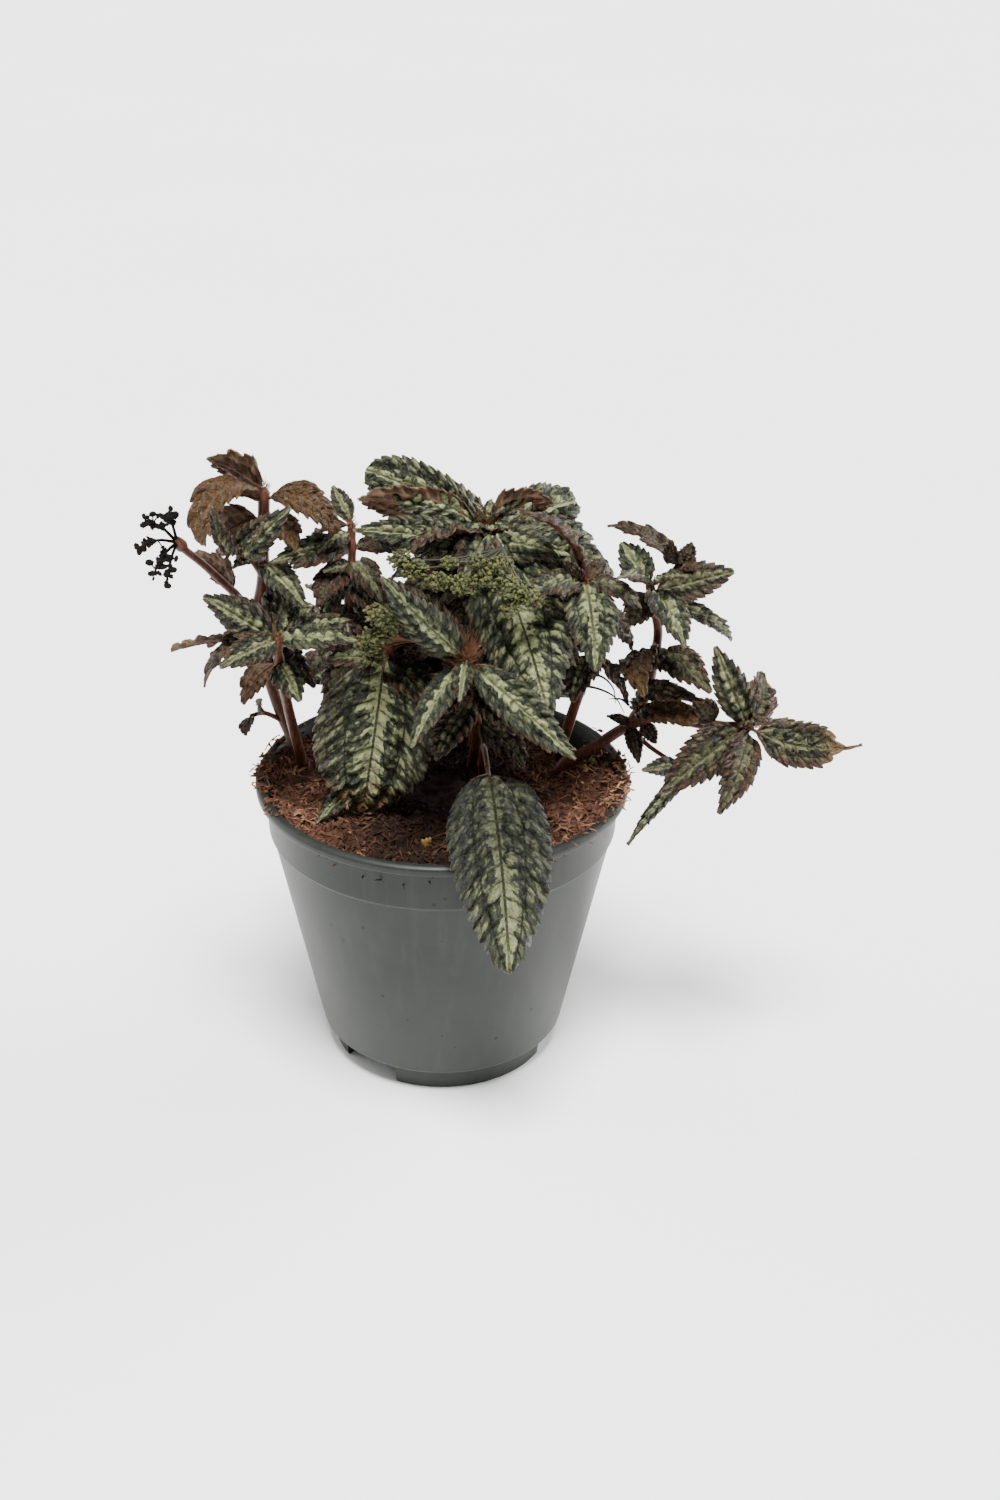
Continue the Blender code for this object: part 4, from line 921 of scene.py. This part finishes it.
def living_leaf_face():
    """The upper face of a living leaf: air under the skin of a ragged middle band gives the
    silver, which breaks into blotches towards the edge. The blade bulges between its veins, and
    the valleys and sunken veins are painted nearly black, partly the leaf's own deep green and
    partly painted shade. Leaves of deep green tone are darker and less silver over their lower
    part, a painted shade of the leaves above. Old and young leaves are bronze, the palest ones with
    tan veins."""
    m, place = new_material("living_leaf_face")
    span, reach, tone, dry, away, half, wobble, fleck, fine, pucker, veins = leaf_fields(m, place)
    lot = pucker.outputs["Color"]
    width = add_node(m, "Math", {0: half, 1: 0.16, 2: 0.4}, operation="MULTIPLY_ADD")
    ragged = add_node(m, "Math", {0: lot, 1: 0.5}, operation="SUBTRACT")
    ragged = add_node(m, "Math", {0: ragged, 1: 0.14, 2: wobble}, operation="MULTIPLY_ADD")
    width = add_node(m, "Math", {0: ragged, 1: half, 2: width}, operation="MULTIPLY_ADD")
    inside = add_node(m, "Math", {0: width, 1: away}, operation="SUBTRACT")
    band = add_node(m, "MapRange", {0: inside, 1: -0.12, 2: 0.18})
    lean = add_node(m, "Math", {0: fleck, 1: 1.1, 2: lot}, operation="MULTIPLY_ADD")
    blotches = add_node(m, "MapRange", {0: lean, 1: 1.02, 2: 1.14, 3: 0.0, 4: 0.68})
    small = add_node(m, "MapRange", {0: half, 1: 4.5, 2: 10.0, 3: 0.15, 4: 1.0})
    outer = add_node(m, "MapRange", {0: span, 1: 1.0, 2: 0.6, 3: 0.3})
    for share in (small, outer):
        blotches = add_node(m, "Math", {0: blotches, 1: share}, operation="MULTIPLY")
    silver = add_node(m, "Math", {0: band, 1: blotches}, operation="MAXIMUM")
    # Valleys between the puckers and the sunken veins go dark: partly the leaf's dark green, partly
    # painted shade.
    painted_valley_shade = add_node(m, "MapRange", {0: pucker, 1: 0.36, 2: 0.56})
    mostly = add_node(m, "MapRange", {0: band, 3: 0.9, 4: 0.25})
    painted_valley_shade = add_node(m, "Math", {0: painted_valley_shade, 1: mostly}, operation="MULTIPLY")
    sunk_vein_shade = add_node(m, "Math", {0: veins, 1: 0.9}, operation="MULTIPLY")
    low = add_node(m, "Math", {0: sunk_vein_shade, 1: painted_valley_shade}, operation="MAXIMUM")
    clear = add_node(m, "Math", {0: 1.0, 1: low}, operation="SUBTRACT")
    browned = add_node(m, "MapRange", {0: tone, 1: 0.3, 2: 0.9, 3: 1.0, 4: 0.2})
    # Tones below 0 get painted shade over the lower part of the leaf: darker and less silver, as under
    # the leaves above.
    base_shade_reach = add_node(m, "Math", {0: reach, 1: 0.7, 2: tone}, operation="MULTIPLY_ADD")
    out_of_painted_base_shade = add_node(m, "MapRange", {0: base_shade_reach, 1: -0.4, 2: 0.0, 3: 0.2, 4: 1.0})
    for share in (clear, browned, out_of_painted_base_shade):
        silver = add_node(m, "Math", {0: silver, 1: share}, operation="MULTIPLY")
    outward = add_node(m, "Math", {0: span, 1: 0.45}, operation="SUBTRACT")
    bronzed = add_node(m, "Math", {0: outward, 1: 0.9, 2: tone}, operation="MULTIPLY_ADD")
    bronzed = add_node(m, "MapRange", {0: bronzed, 1: 0.25, 2: 0.85})
    green, brown, pale, body, dead = (
        add_node(m, "Mix", {0: fleck, 6: srgb(first), 7: srgb(second)}, data_type="RGBA")
        for first, second in (
            ("1A2013", "4A5036"),
            ("2B190D", "4E331A"),
            ("A9AB77", "71795A"),
            ("341C09", "523512"),
            ("4A3220", "74603F"),
        )
    )
    # The dark green 12160C is the painted shade of the leaves above.
    green = add_node(m, "Mix", {0: out_of_painted_base_shade, 6: srgb("12160C"), 7: green}, data_type="RGBA")
    dark = add_node(m, "Mix", {0: bronzed, 6: green, 7: brown}, data_type="RGBA")
    # The near black in the valleys and veins is partly painted shade.
    dark = add_node(m, "Mix", {0: low, 6: dark, 7: srgb("0D0E09")}, data_type="RGBA")
    pale = add_node(m, "Mix", {0: tone, 6: pale, 7: srgb("5A4C34")}, data_type="RGBA")
    grown = add_node(m, "Mix", {0: silver, 6: dark, 7: pale}, data_type="RGBA")
    lines = add_node(m, "MapRange", {0: veins, 1: 0.35, 2: 0.9, 3: 0.0, 4: 0.75})
    young = add_node(m, "Mix", {0: lines, 6: body, 7: srgb("74602F")}, data_type="RGBA")
    youth = add_node(m, "Math", {0: tone, 1: 1.0}, operation="SUBTRACT")
    grown = add_node(m, "Mix", {0: youth, 6: grown, 7: young}, data_type="RGBA")
    start = add_node(m, "Math", {0: 1.0, 1: dry}, operation="SUBTRACT")
    over = add_node(m, "Math", {0: reach, 1: start}, operation="SUBTRACT")
    over = add_node(m, "Math", {0: wobble, 1: 0.4, 2: over}, operation="MULTIPLY_ADD")
    dying = add_node(m, "MapRange", {0: over, 1: -0.03, 2: 0.08})
    alive = add_node(m, "MapRange", {0: dry, 1: 0.0, 2: 0.05})
    dying = add_node(m, "Math", {0: dying, 1: alive}, operation="MULTIPLY")
    colour = add_node(m, "Mix", {0: dying, 6: grown, 7: dead}, data_type="RGBA")
    rough = add_node(m, "MapRange", {0: fine, 3: 0.3, 4: 0.5})
    height = add_node(m, "Math", {0: veins, 1: -0.35, 2: fine}, operation="MULTIPLY_ADD")
    height = add_node(m, "Math", {0: pucker, 1: -1.8, 2: height}, operation="MULTIPLY_ADD")
    bump = add_node(m, "Bump", {"Height": height, "Strength": 1.0, "Distance": 0.0008})
    surface = {"Base Color": colour, "Roughness": rough, "IOR": 1.42, "Normal": bump}
    surface["Specular IOR Level"] = 0.42
    return surfaced(m, surface)


def living_leaf_back():
    """The back of a living leaf: red-brown pigment, with the raised veins paler and hairy."""
    m, place = new_material("living_leaf_back")
    *_, fleck, fine, _, veins = leaf_fields(m, place)
    body = add_node(m, "Mix", {0: fleck, 6: srgb("33200F"), 7: srgb("553A20")}, data_type="RGBA")
    raised = add_node(m, "Math", {0: veins, 1: 0.7}, operation="MULTIPLY")
    colour = add_node(m, "Mix", {0: raised, 6: body, 7: srgb("68503A")}, data_type="RGBA")
    height = add_node(m, "Math", {0: veins, 1: fine}, operation="ADD")
    bump = add_node(m, "Bump", {"Height": height, "Strength": 0.5, "Distance": 0.0003})
    return surfaced(m, {"Base Color": colour, "Roughness": 0.6, "IOR": 1.45, "Normal": bump})


def juicy_stem():
    """A soft stem: red-brown skin, paler and greener in patches, with fine lengthwise streaks, the
    raised ones painted paler as highlights.
    """
    m, place = new_material("juicy_stem")
    lengthwise = add_node(m, "Mapping", {"Vector": place, "Scale": (1, 1, STEM_STREAK_STRETCH)})
    streaks = {"Vector": lengthwise, "Scale": scale_of(STEM_STREAK), "Detail": 3.0}
    streak = add_node(m, "TexNoise", streaks)
    patch = add_node(m, "TexNoise", {"Vector": place, "Scale": scale_of(STEM_PATCH), "Detail": 2.0})
    skin = add_node(m, "Mix", {0: patch, 6: srgb("33150C"), 7: srgb("55301F")}, data_type="RGBA")
    # Painted highlights: the raised streaks are made paler.
    highlight_streaks = add_node(m, "MapRange", {0: streak, 1: 0.5, 2: 0.75, 3: 0.0, 4: 0.7})
    skin = add_node(m, "Mix", {0: highlight_streaks, 6: skin, 7: srgb("684634")}, data_type="RGBA")
    bump = add_node(m, "Bump", {"Height": streak, "Strength": 0.5, "Distance": 0.0003})
    surface = {"Base Color": skin, "Roughness": 0.5, "IOR": 1.45, "Normal": bump}
    surface["Specular IOR Level"] = 0.3
    return surfaced(m, surface)


LEAF_FACE = living_leaf_face()
LEAF_BACK = living_leaf_back()
STEM_SKIN = juicy_stem()


def grown_shoot(node, stems, inner_leaves):
    """One shoot: its blades made thick with a bronze back, and its stems and leaf stalks."""
    name = node.replace("shoot", "leafy_shoot")
    leaves = [(stem, *row) for stem, (*_, rows) in stems.items() for row in rows]
    leaves += [("main", *row) for row in inner_leaves]
    lines = []
    for stem, (foot_radius, tip_radius, points, _) in stems.items():
        heights = [row[1] for row in leaves if row[0] == stem]
        lines.append(stem_line(points, (foot_radius, tip_radius), heights, stem == "main"))
    blades = []
    for stem, height, tip, width, turn, arch, tone, *rest in leaves:
        dry, blunt = (*rest, 0, 0)[:2]
        base = smooth_points(stems[stem][2], ROUTE_STEPS)[round(height * ROUTE_STEPS)]
        lines.append(stalk_line(base, tip, width, turn, arch, dry))
        blades.append(leaf_blade(base, tip, width, turn, arch, tone, dry, blunt, DRAW_LEAVES))
    shoot = merged(blades, name)
    shoot.data.materials.append(LEAF_FACE)
    shoot.data.materials.append(LEAF_BACK)
    sheet = {"thickness": LEAF_SHEET * MM, "offset": -1}
    finish_modifier(shoot, "Sheet", "SOLIDIFY", material_offset=1, material_offset_rim=1, **sheet)
    bpy.ops.object.shade_smooth()
    stalks = tubes("stalks", lines)
    stalks.data.materials.append(STEM_SKIN)
    shoot = merged([shoot, stalks], name)
    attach(shoot, "root")
    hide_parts(node)


DRAW_LEAVES = random.Random(23)
for node, stems in SHOOTS.items():
    grown_shoot(node, stems, INNER_LEAVES.get(node, []))

# Shoots at the back: the same red-brown stems with crossed pairs of leaves, each pair a quarter
# turn from the one below. They grow by rule and are hardly seen from the front.

# A row is the route, the number of pairs, the lowest pair's heading in degrees, and the longest
# leaf.
BACK_SHOOTS = {
    "shoot_back_left": ([(-28, 40, 92), (-36, 44, 115), (-40, 46, 138)], 4, 160, 27),
    "shoot_back_mid": ([(-2, 44, 91), (-2, 50, 118), (-4, 52, 146)], 4, 80, 32),
    "shoot_back_right": ([(28, 40, 88), (34, 48, 104), (38, 52, 120)], 3, 45, 26),
}
BACK_STEM_RADII = (1.8, 1.2)
BACK_LOWEST = 0.35
BACK_YOUNGEST_SHARE = 0.55
BACK_CLIMB = (-12, 38)
BACK_JITTER = 9
BACK_SLIMNESS = 0.5
BACK_ARCH = 0.13
BACK_TONES = (0.15, 0.65)


def crossed_pairs(points, pairs, heading, longest, draw):
    """Rows of leaves in crossed pairs, shorter and steeper upwards, green and bronze by turns."""
    leaves = []
    for i in range(pairs):
        up = i / (pairs - 1)
        height = BACK_LOWEST + (1 - BACK_LOWEST) * up
        base = smooth_points(points, ROUTE_STEPS)[round(height * ROUTE_STEPS)]
        length = longest * (1 - (1 - BACK_YOUNGEST_SHARE) * up)
        climb = math.radians(BACK_CLIMB[0] + (BACK_CLIMB[1] - BACK_CLIMB[0]) * up)
        level = math.cos(climb)
        for half in (0, 180):
            turn = math.radians(heading + 90 * i + half + draw.uniform(-BACK_JITTER, BACK_JITTER))
            way = Vector((math.cos(turn) * level, math.sin(turn) * level, math.sin(climb)))
            tip = base + way * length
            leaves.append((height, tip, length * BACK_SLIMNESS, 0, BACK_ARCH, BACK_TONES[i % 2]))
    return leaves


DRAW_BACK = random.Random(7)
for node, (route, *rule) in BACK_SHOOTS.items():
    rows = crossed_pairs(route, *rule, DRAW_BACK)
    grown_shoot(node, {"main": (*BACK_STEM_RADII, route, rows)}, [])

# Hairs at the growing tips: the youngest leaves and buds of a shoot are wrapped in rust-brown
# down, a fur of plant hairs a few millimetres long that is thickest on the centre rosette.

# A row is where the tip is, the way that it points, its size and how many hairs it has.
GROWING_TIPS = [
    ((7, -28, 152), (0.0, -0.5, 0.9), 5.5, 260),
    ((14, 9, 180), (0.0, -0.2, 1.0), 3.4, 90),
    ((-54, 8, 191), (0.0, -0.1, 1.0), 2.6, 60),
    ((-61, -5, 176), (-0.3, -0.5, 0.8), 2.2, 50),
    ((-50, -16, 152), (0.0, -0.4, 0.9), 2.8, 60),
    ((-28, 13, 178), (0.0, -0.2, 1.0), 2.4, 50),
    ((43, -5, 167), (0.1, -0.4, 0.9), 3.0, 80),
    ((64, 4, 162), (0.0, -0.2, 1.0), 2.6, 60),
    ((73, 10, 166), (0.2, 0.0, 1.0), 2.4, 50),
    ((97, -9, 119), (0.6, -0.4, 0.7), 2.8, 70),
    ((-17, -9, 148), (0.0, -0.4, 0.9), 2.4, 40),
]
HAIR_BEND = [(0, 0, 0), (0.55, 0.1, 0.02), (1, 0.02, 0.16)]
HAIR_RADII = (0.13, 0.03)
HAIR_SPREAD = 0.28
HAIR_LENGTHS = (0.35, 0.9)
HAIR_ALONG = 0.8
HAIR_OUTWARD = 0.7
TUFT_HEIGHT = 1.5
HAIR_PATCH = 1.4


def rusty_down():
    """Fine plant hairs: translucent in life, so they glow orange-brown against the leaves. Their
    colour changes every 1.4 mm, coarser than in life, to show at all."""
    m, place = new_material("rusty_down")
    shade = add_node(m, "Attribute", {}, attribute_name="shade").outputs["Fac"]
    grain = add_node(m, "TexNoise", {"Vector": place, "Scale": scale_of(HAIR_PATCH)})
    mixed = add_node(m, "Math", {0: shade, 1: grain}, operation="MULTIPLY")
    colour = add_node(m, "Mix", {0: mixed, 6: srgb("4C2A14"), 7: srgb("8E5E38")}, data_type="RGBA")
    return surfaced(m, {"Base Color": colour, "Roughness": 0.6})


def pointing(place, way, length):
    """A place whose x axis lies along a way, for something long."""
    turn = way.to_track_quat("X", "Z").to_matrix().to_4x4()
    return Matrix.Translation(place * MM) @ turn @ Matrix.Diagonal((length, 1, 1, 1))


DRAW_HAIRS = random.Random(19)
places = []
for centre, way, size, count in GROWING_TIPS:
    for _ in range(count):
        off = Vector([DRAW_HAIRS.gauss(0, HAIR_SPREAD * size) for _ in range(3)])
        lean = Vector(way) * HAIR_ALONG + off.normalized() * HAIR_OUTWARD
        off.z *= TUFT_HEIGHT
        length = DRAW_HAIRS.uniform(*HAIR_LENGTHS) * size
        places.append(pointing(Vector(centre) + off, lean, length))
hair = tubes("hair", [(HAIR_BEND, tapered(*HAIR_RADII, len(HAIR_BEND)))], 0)
down = copies(hair, "tip_down", places)
down.data.materials.append(rusty_down())
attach(down, "root")

# Flower heads: flat, branched sprays of pinhead buds, olive and yellow-green, on thin stalks
# that rise from the leaf nodes. The buds touch, and here and there one stands out on its twig.

# A row is the stalk's route, then each spray's middle and radius.
FLOWER_HEADS = {
    "flower_head_left": (
        [(-26, 6.5, 146), (-22, -8, 150)],
        [
            ((-19, -22, 156), 3.4), ((-19, -25, 164), 3.0), ((-15, -23, 160), 2.6),
            ((-22, -19, 152), 3.0), ((-20, -16, 146), 2.6),
        ],
    ),
    "flower_head_wide": (
        [(15.6, 1.0, 174), (18, -10, 179)],
        [
            ((19, -28, 174), 3.2), ((13, -26, 177), 3.2), ((6, -28, 175), 3.0),
            ((-1, -28, 176), 2.8), ((-8, -24, 178), 3.0), ((-12, -22, 180), 2.8),
            ((17, -25, 180), 2.8), ((24, -26, 171), 3.0), ((20, -29, 168), 2.6),
            ((10, -25, 181), 2.0), ((27, -24, 168), 2.2), ((2, -24, 180), 1.8),
        ],
    ),
}
BUDS_A_SPRAY = 260
BUD_SIZES = (0.42, 0.8)
BUD_SPREAD = (0.3, 1.45)
SPRAY_FLATNESS = 0.75
TWIG_SHARE = 0.14
TWIG_RADII = (0.28, 0.2)
HEAD_STALK_RADII = (0.75, 0.59)
HEAD_STALK_STEPS = 8
SPRAY_STALK_RADIUS = 0.3
SPRAY_STALK_STEPS = 10
STALK_SAG = Vector((0, 0, -1.5))
BUD_GRAIN = 1.1
HEAD_PATCH = 11.0


def flower_buds():
    """Closed buds a millimetre across: olive to yellow-green, dull, a few gone brown. Patches of
    a head, about 11 mm across, are warmer than the rest."""
    m, place = new_material("flower_buds")
    shade = add_node(m, "Attribute", {}, attribute_name="shade").outputs["Fac"]
    grain = add_node(m, "TexNoise", {"Vector": place, "Scale": scale_of(BUD_GRAIN)})
    patch = add_node(m, "TexNoise", {"Vector": place, "Scale": scale_of(HEAD_PATCH)})
    warm = add_node(m, "MapRange", {0: patch, 1: 0.5, 2: 0.7, 3: 0.0, 4: 0.7})
    green = add_node(m, "Mix", {0: shade, 6: srgb("20230D"), 7: srgb("53571F")}, data_type="RGBA")
    colour = add_node(m, "Mix", {0: warm, 6: green, 7: srgb("4C421A")}, data_type="RGBA")
    brown = add_node(m, "MapRange", {0: shade, 1: 0.95, 2: 0.98})
    colour = add_node(m, "Mix", {0: brown, 6: colour, 7: srgb("3E2614")}, data_type="RGBA")
    bump = add_node(m, "Bump", {"Height": grain, "Strength": 0.6, "Distance": 0.0003})
    return surfaced(m, {"Base Color": colour, "Roughness": 0.65, "Normal": bump})


BUD_SKIN = flower_buds()
DRAW_FLOWERS = random.Random(5)
for node, (stalk, sprays) in FLOWER_HEADS.items():
    fork = Vector(stalk[-1])
    route = smooth_points(stalk, HEAD_STALK_STEPS)
    lines = [(route, tapered(*HEAD_STALK_RADII, len(route)))]
    places = []
    for centre, radius in sprays:
        centre = Vector(centre)
        middle = (fork + centre) / 2 + STALK_SAG
        route = smooth_points([fork, middle, centre], SPRAY_STALK_STEPS)
        lines.append((route, [SPRAY_STALK_RADIUS] * len(route)))
        for _ in range(BUDS_A_SPRAY):
            way = Vector([DRAW_FLOWERS.gauss(0, 1) for _ in range(3)]).normalized()
            way.z *= SPRAY_FLATNESS
            place = centre + way * radius * DRAW_FLOWERS.uniform(*BUD_SPREAD)
            places.append(tumbled(place, DRAW_FLOWERS.uniform(*BUD_SIZES), DRAW_FLOWERS))
            if DRAW_FLOWERS.random() < TWIG_SHARE:
                lines.append(([centre, place], TWIG_RADII))
    buds = copies(small_ball(), "buds", places)
    buds.data.materials.append(BUD_SKIN)
    twigs = tubes("twigs", lines)
    twigs.data.materials.append(BUD_SKIN)
    head = merged([buds, twigs], node.replace("flower_head", "bud_cluster"))
    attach(head, "root")
    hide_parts(node)

# Spent bloom: last season's flower branches, dried black and crumbling, with bits of dead flower
# along them. They sit on the last bud of the old stalk.
SPENT_ROOT = (-79.6, -3.8, 178.4)
SPENT_BUD = [(-77.5, -2.6, 175.6), (-78.8, -3.4, 177.6), (-80.2, -4.2, 180.6)]
SPENT_BUD_RADII = [1.2, 1.6, 1.9, 2.0, 1.9, 1.7, 1.4, 0.9, 0.3]
SPENT_TIPS = [(-88, -8, 187), (-81, -10, 190), (-90, -12, 180), (-86, -14, 172), (-82, -15, 170)]
SPENT_RISE = Vector((0, 0, 1.5))
BITS_A_BRANCH = 20
BIT_SIZES = (0.6, 1.7)
BIT_SPREAD = 0.9
BIT_STALK_RADII = (0.25, 0.2)
SPENT_RADII = (0.55, 0.31)
SPENT_STEPS = 8
CRUMBLE_SIZE = 0.8


def dried_black_bloom():
    """Dead flower tissue: black-brown, matte and brittle, with a crumbly grain of 0.8 mm."""
    m, place = new_material("dried_black_bloom")
    grain = add_node(m, "TexNoise", {"Vector": place, "Scale": scale_of(CRUMBLE_SIZE), "Detail": 4.0})
    colour = add_node(m, "Mix", {0: grain, 6: srgb("060504"), 7: srgb("1A1512")}, data_type="RGBA")
    bump = add_node(m, "Bump", {"Height": grain, "Strength": 0.8, "Distance": 0.0004})
    surface = {"Base Color": colour, "Roughness": 0.9, "Specular IOR Level": 0.1, "Normal": bump}
    return surfaced(m, surface)


DRAW_SPENT = random.Random(3)
lines = []
places = []
for tip in SPENT_TIPS:
    middle = (Vector(SPENT_ROOT) + Vector(tip)) / 2 + SPENT_RISE
    route = smooth_points([SPENT_ROOT, middle, tip], SPENT_STEPS)
    lines.append((route, tapered(*SPENT_RADII, len(route))))
    for _ in range(BITS_A_BRANCH):
        off = Vector([DRAW_SPENT.gauss(0, BIT_SPREAD) for _ in range(3)])
        start = route[DRAW_SPENT.randrange(SPENT_STEPS // 2, len(route))]
        places.append(tumbled(start + off, DRAW_SPENT.uniform(*BIT_SIZES), DRAW_SPENT))
        lines.append(([start, start + off], BIT_STALK_RADII))
dry_bits = copies(small_ball(), "dry_bits", places)
branches = tubes("branches", lines)
spent = merged([dry_bits, branches], "dried_bloom")
DRY_SKIN = dried_black_bloom()
spent.data.materials.append(DRY_SKIN)
last_bud = tubes("last_bud", [(smooth_points(SPENT_BUD, SPENT_STEPS), SPENT_BUD_RADII)])
last_bud.data.materials.append(STEM_SKIN)
spent = merged([spent, last_bud], "dried_bloom")
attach(spent, "root")
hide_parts("spent_bloom")

# Small things: a pale green seedling at the back right, a yellow shoot at the front that has just
# come up, and dark curled ends of old leaf stalks on the right-hand shoots.
SEEDLING_AT = (46, 17)
SEEDLING_LEAVES = [(-7, -5, 3), (-4, 3, 6), (5, -4, 4), (7, 3, 2), (1, -7, 2), (2, 2, 8)]
SEEDLING_RISE = Vector((0, 0, 2.5))
SEEDLING_RADII = [0.4, 0.35, 0.3, 0.3, 0.3, 0.6, 1.0, 1.2, 1.0, 0.6, 0.15]
SEEDLING_PATCH = 3.1
BROWN_UP_TO = 90.0
GREEN_FROM = 95.0
NUB_AT = (-5, -34)
NUB_TOPS = [(-1.2, -1, 3.6), (1.4, -0.8, 4.2), (0.2, 0.8, 3.2)]
NUB_RADII = [1.0, 1.1, 1.1, 1.0, 0.8, 0.6, 0.2]
CURLED_ENDS = [
    [(44, 0, 131), (49, -4, 134), (53, -6, 131), (54, -7, 126)],
    [(43, 2, 128), (49, -3, 129), (54, -5, 127), (57, -6, 122)],
    [(59, 2, 121), (56, -2, 125), (52, -4, 126)],
]
CURL_RADII = (0.5, 0.14)
CURL_STEPS = 12


def pale_seedling():
    """A soft young seedling: thin, juicy and yellow-green, browner towards its foot."""
    m, place = new_material("pale_seedling")
    grain = add_node(m, "TexNoise", {"Vector": place, "Scale": scale_of(SEEDLING_PATCH), "Detail": 3.0})
    green = add_node(m, "Mix", {0: grain, 6: srgb("3C3A16"), 7: srgb("7E7A32")}, data_type="RGBA")
    height = add_node(m, "SeparateXYZ", {0: place}).outputs["Z"]
    foot = add_node(m, "MapRange", {0: height, 1: GREEN_FROM * MM, 2: BROWN_UP_TO * MM})
    colour = add_node(m, "Mix", {0: foot, 6: green, 7: srgb("7A5430")}, data_type="RGBA")
    return surfaced(m, {"Base Color": colour, "Roughness": 0.5, "IOR": 1.42})


root = Vector((*SEEDLING_AT, soil_height(*SEEDLING_AT) - 1))
lines = []
for reach in SEEDLING_LEAVES:
    tip = root + Vector(reach)
    middle = (root + tip) / 2 + SEEDLING_RISE
    lines.append((smooth_points([root, middle, tip], len(SEEDLING_RADII) - 1), SEEDLING_RADII))
seedling = tubes("seedling", lines)
root = Vector((*NUB_AT, soil_height(*NUB_AT) - 1))
tops = [root + Vector(way) for way in NUB_TOPS]
steps = len(NUB_RADII) - 1
lines = [(smooth_points([root, (root + top) / 2, top], steps), NUB_RADII) for top in tops]
seedling = merged([seedling, tubes("nub", lines)], "seedling")
seedling.data.materials.append(pale_seedling())
radii = tapered(*CURL_RADII, CURL_STEPS + 1)
lines = [(smooth_points(curl, CURL_STEPS), radii) for curl in CURLED_ENDS]
curls = tubes("curled_ends", lines)
curls.data.materials.append(DRY_SKIN)
for piece in (seedling, curls):
    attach(piece, "root")

# Floor, light and camera: a plain pale floor, soft light from above and from both sides, and
# the photograph's view from above the rim.
FLOOR_METRES = 30
FLOOR_PATCH = 330.0
CAMERA_PLACE = (0.25, -550.0, 396.0)
CAMERA_DOWN = 27.52
PHOTO_SIZE = (1000, 1500)
FOCAL_PIXELS = 1947
PHOTO_CENTRE = (443, 740)
SENSOR = 36
WORLD_STRENGTH = 0.4
# A light's row is its name, where it shines from, how soft it is in degrees, and its strength.
LIGHTS = (
    ("top_light", (0.0, -0.28, 1.0), 22, 9.5),
    ("left_light", (-1.0, 0.5, 0.3), 50, 2.1),
    ("right_light", (1.0, 0.5, 0.3), 50, 6.2),
)

bpy.ops.mesh.primitive_plane_add(size=FLOOR_METRES)
floor = bpy.context.object
floor.name = "floor"
m, place = new_material("pale_floor")
mottle = add_node(m, "TexNoise", {"Vector": place, "Scale": scale_of(FLOOR_PATCH)})
colour = add_node(m, "Mix", {0: mottle, 6: srgb("F3F3F2"), 7: srgb("F9F9F9")}, data_type="RGBA")
floor.data.materials.append(surfaced(m, {"Base Color": colour, "Roughness": 0.9}))

world = bpy.data.worlds.new("studio")
bpy.context.scene.world = world
world.use_nodes = True
sky = world.node_tree.nodes["Background"].inputs
sky["Color"].default_value = (1, 1, 1, 1)
sky["Strength"].default_value = WORLD_STRENGTH
for name, source, softness, strength in LIGHTS:
    light = bpy.data.lights.new(name, "SUN")
    light.angle = math.radians(softness)
    light.energy = strength
    lamp = bpy.data.objects.new(name, light)
    lamp.location = source
    lamp.rotation_euler = (-Vector(source)).to_track_quat("-Z", "Y").to_euler()
    bpy.context.scene.collection.objects.link(lamp)

lens = bpy.data.cameras.new("camera")
lens.sensor_width = SENSOR
lens.lens = FOCAL_PIXELS / PHOTO_SIZE[1] * SENSOR
lens.shift_x = (PHOTO_SIZE[0] / 2 - PHOTO_CENTRE[0]) / PHOTO_SIZE[1]
lens.shift_y = -(PHOTO_SIZE[1] / 2 - PHOTO_CENTRE[1]) / PHOTO_SIZE[1]
lens.clip_start = 0.01
camera = bpy.data.objects.new("camera", lens)
camera.location = Vector(CAMERA_PLACE) * MM
camera.rotation_euler = (math.radians(90 - CAMERA_DOWN), 0, 0)
bpy.context.scene.collection.objects.link(camera)
bpy.context.scene.camera = camera
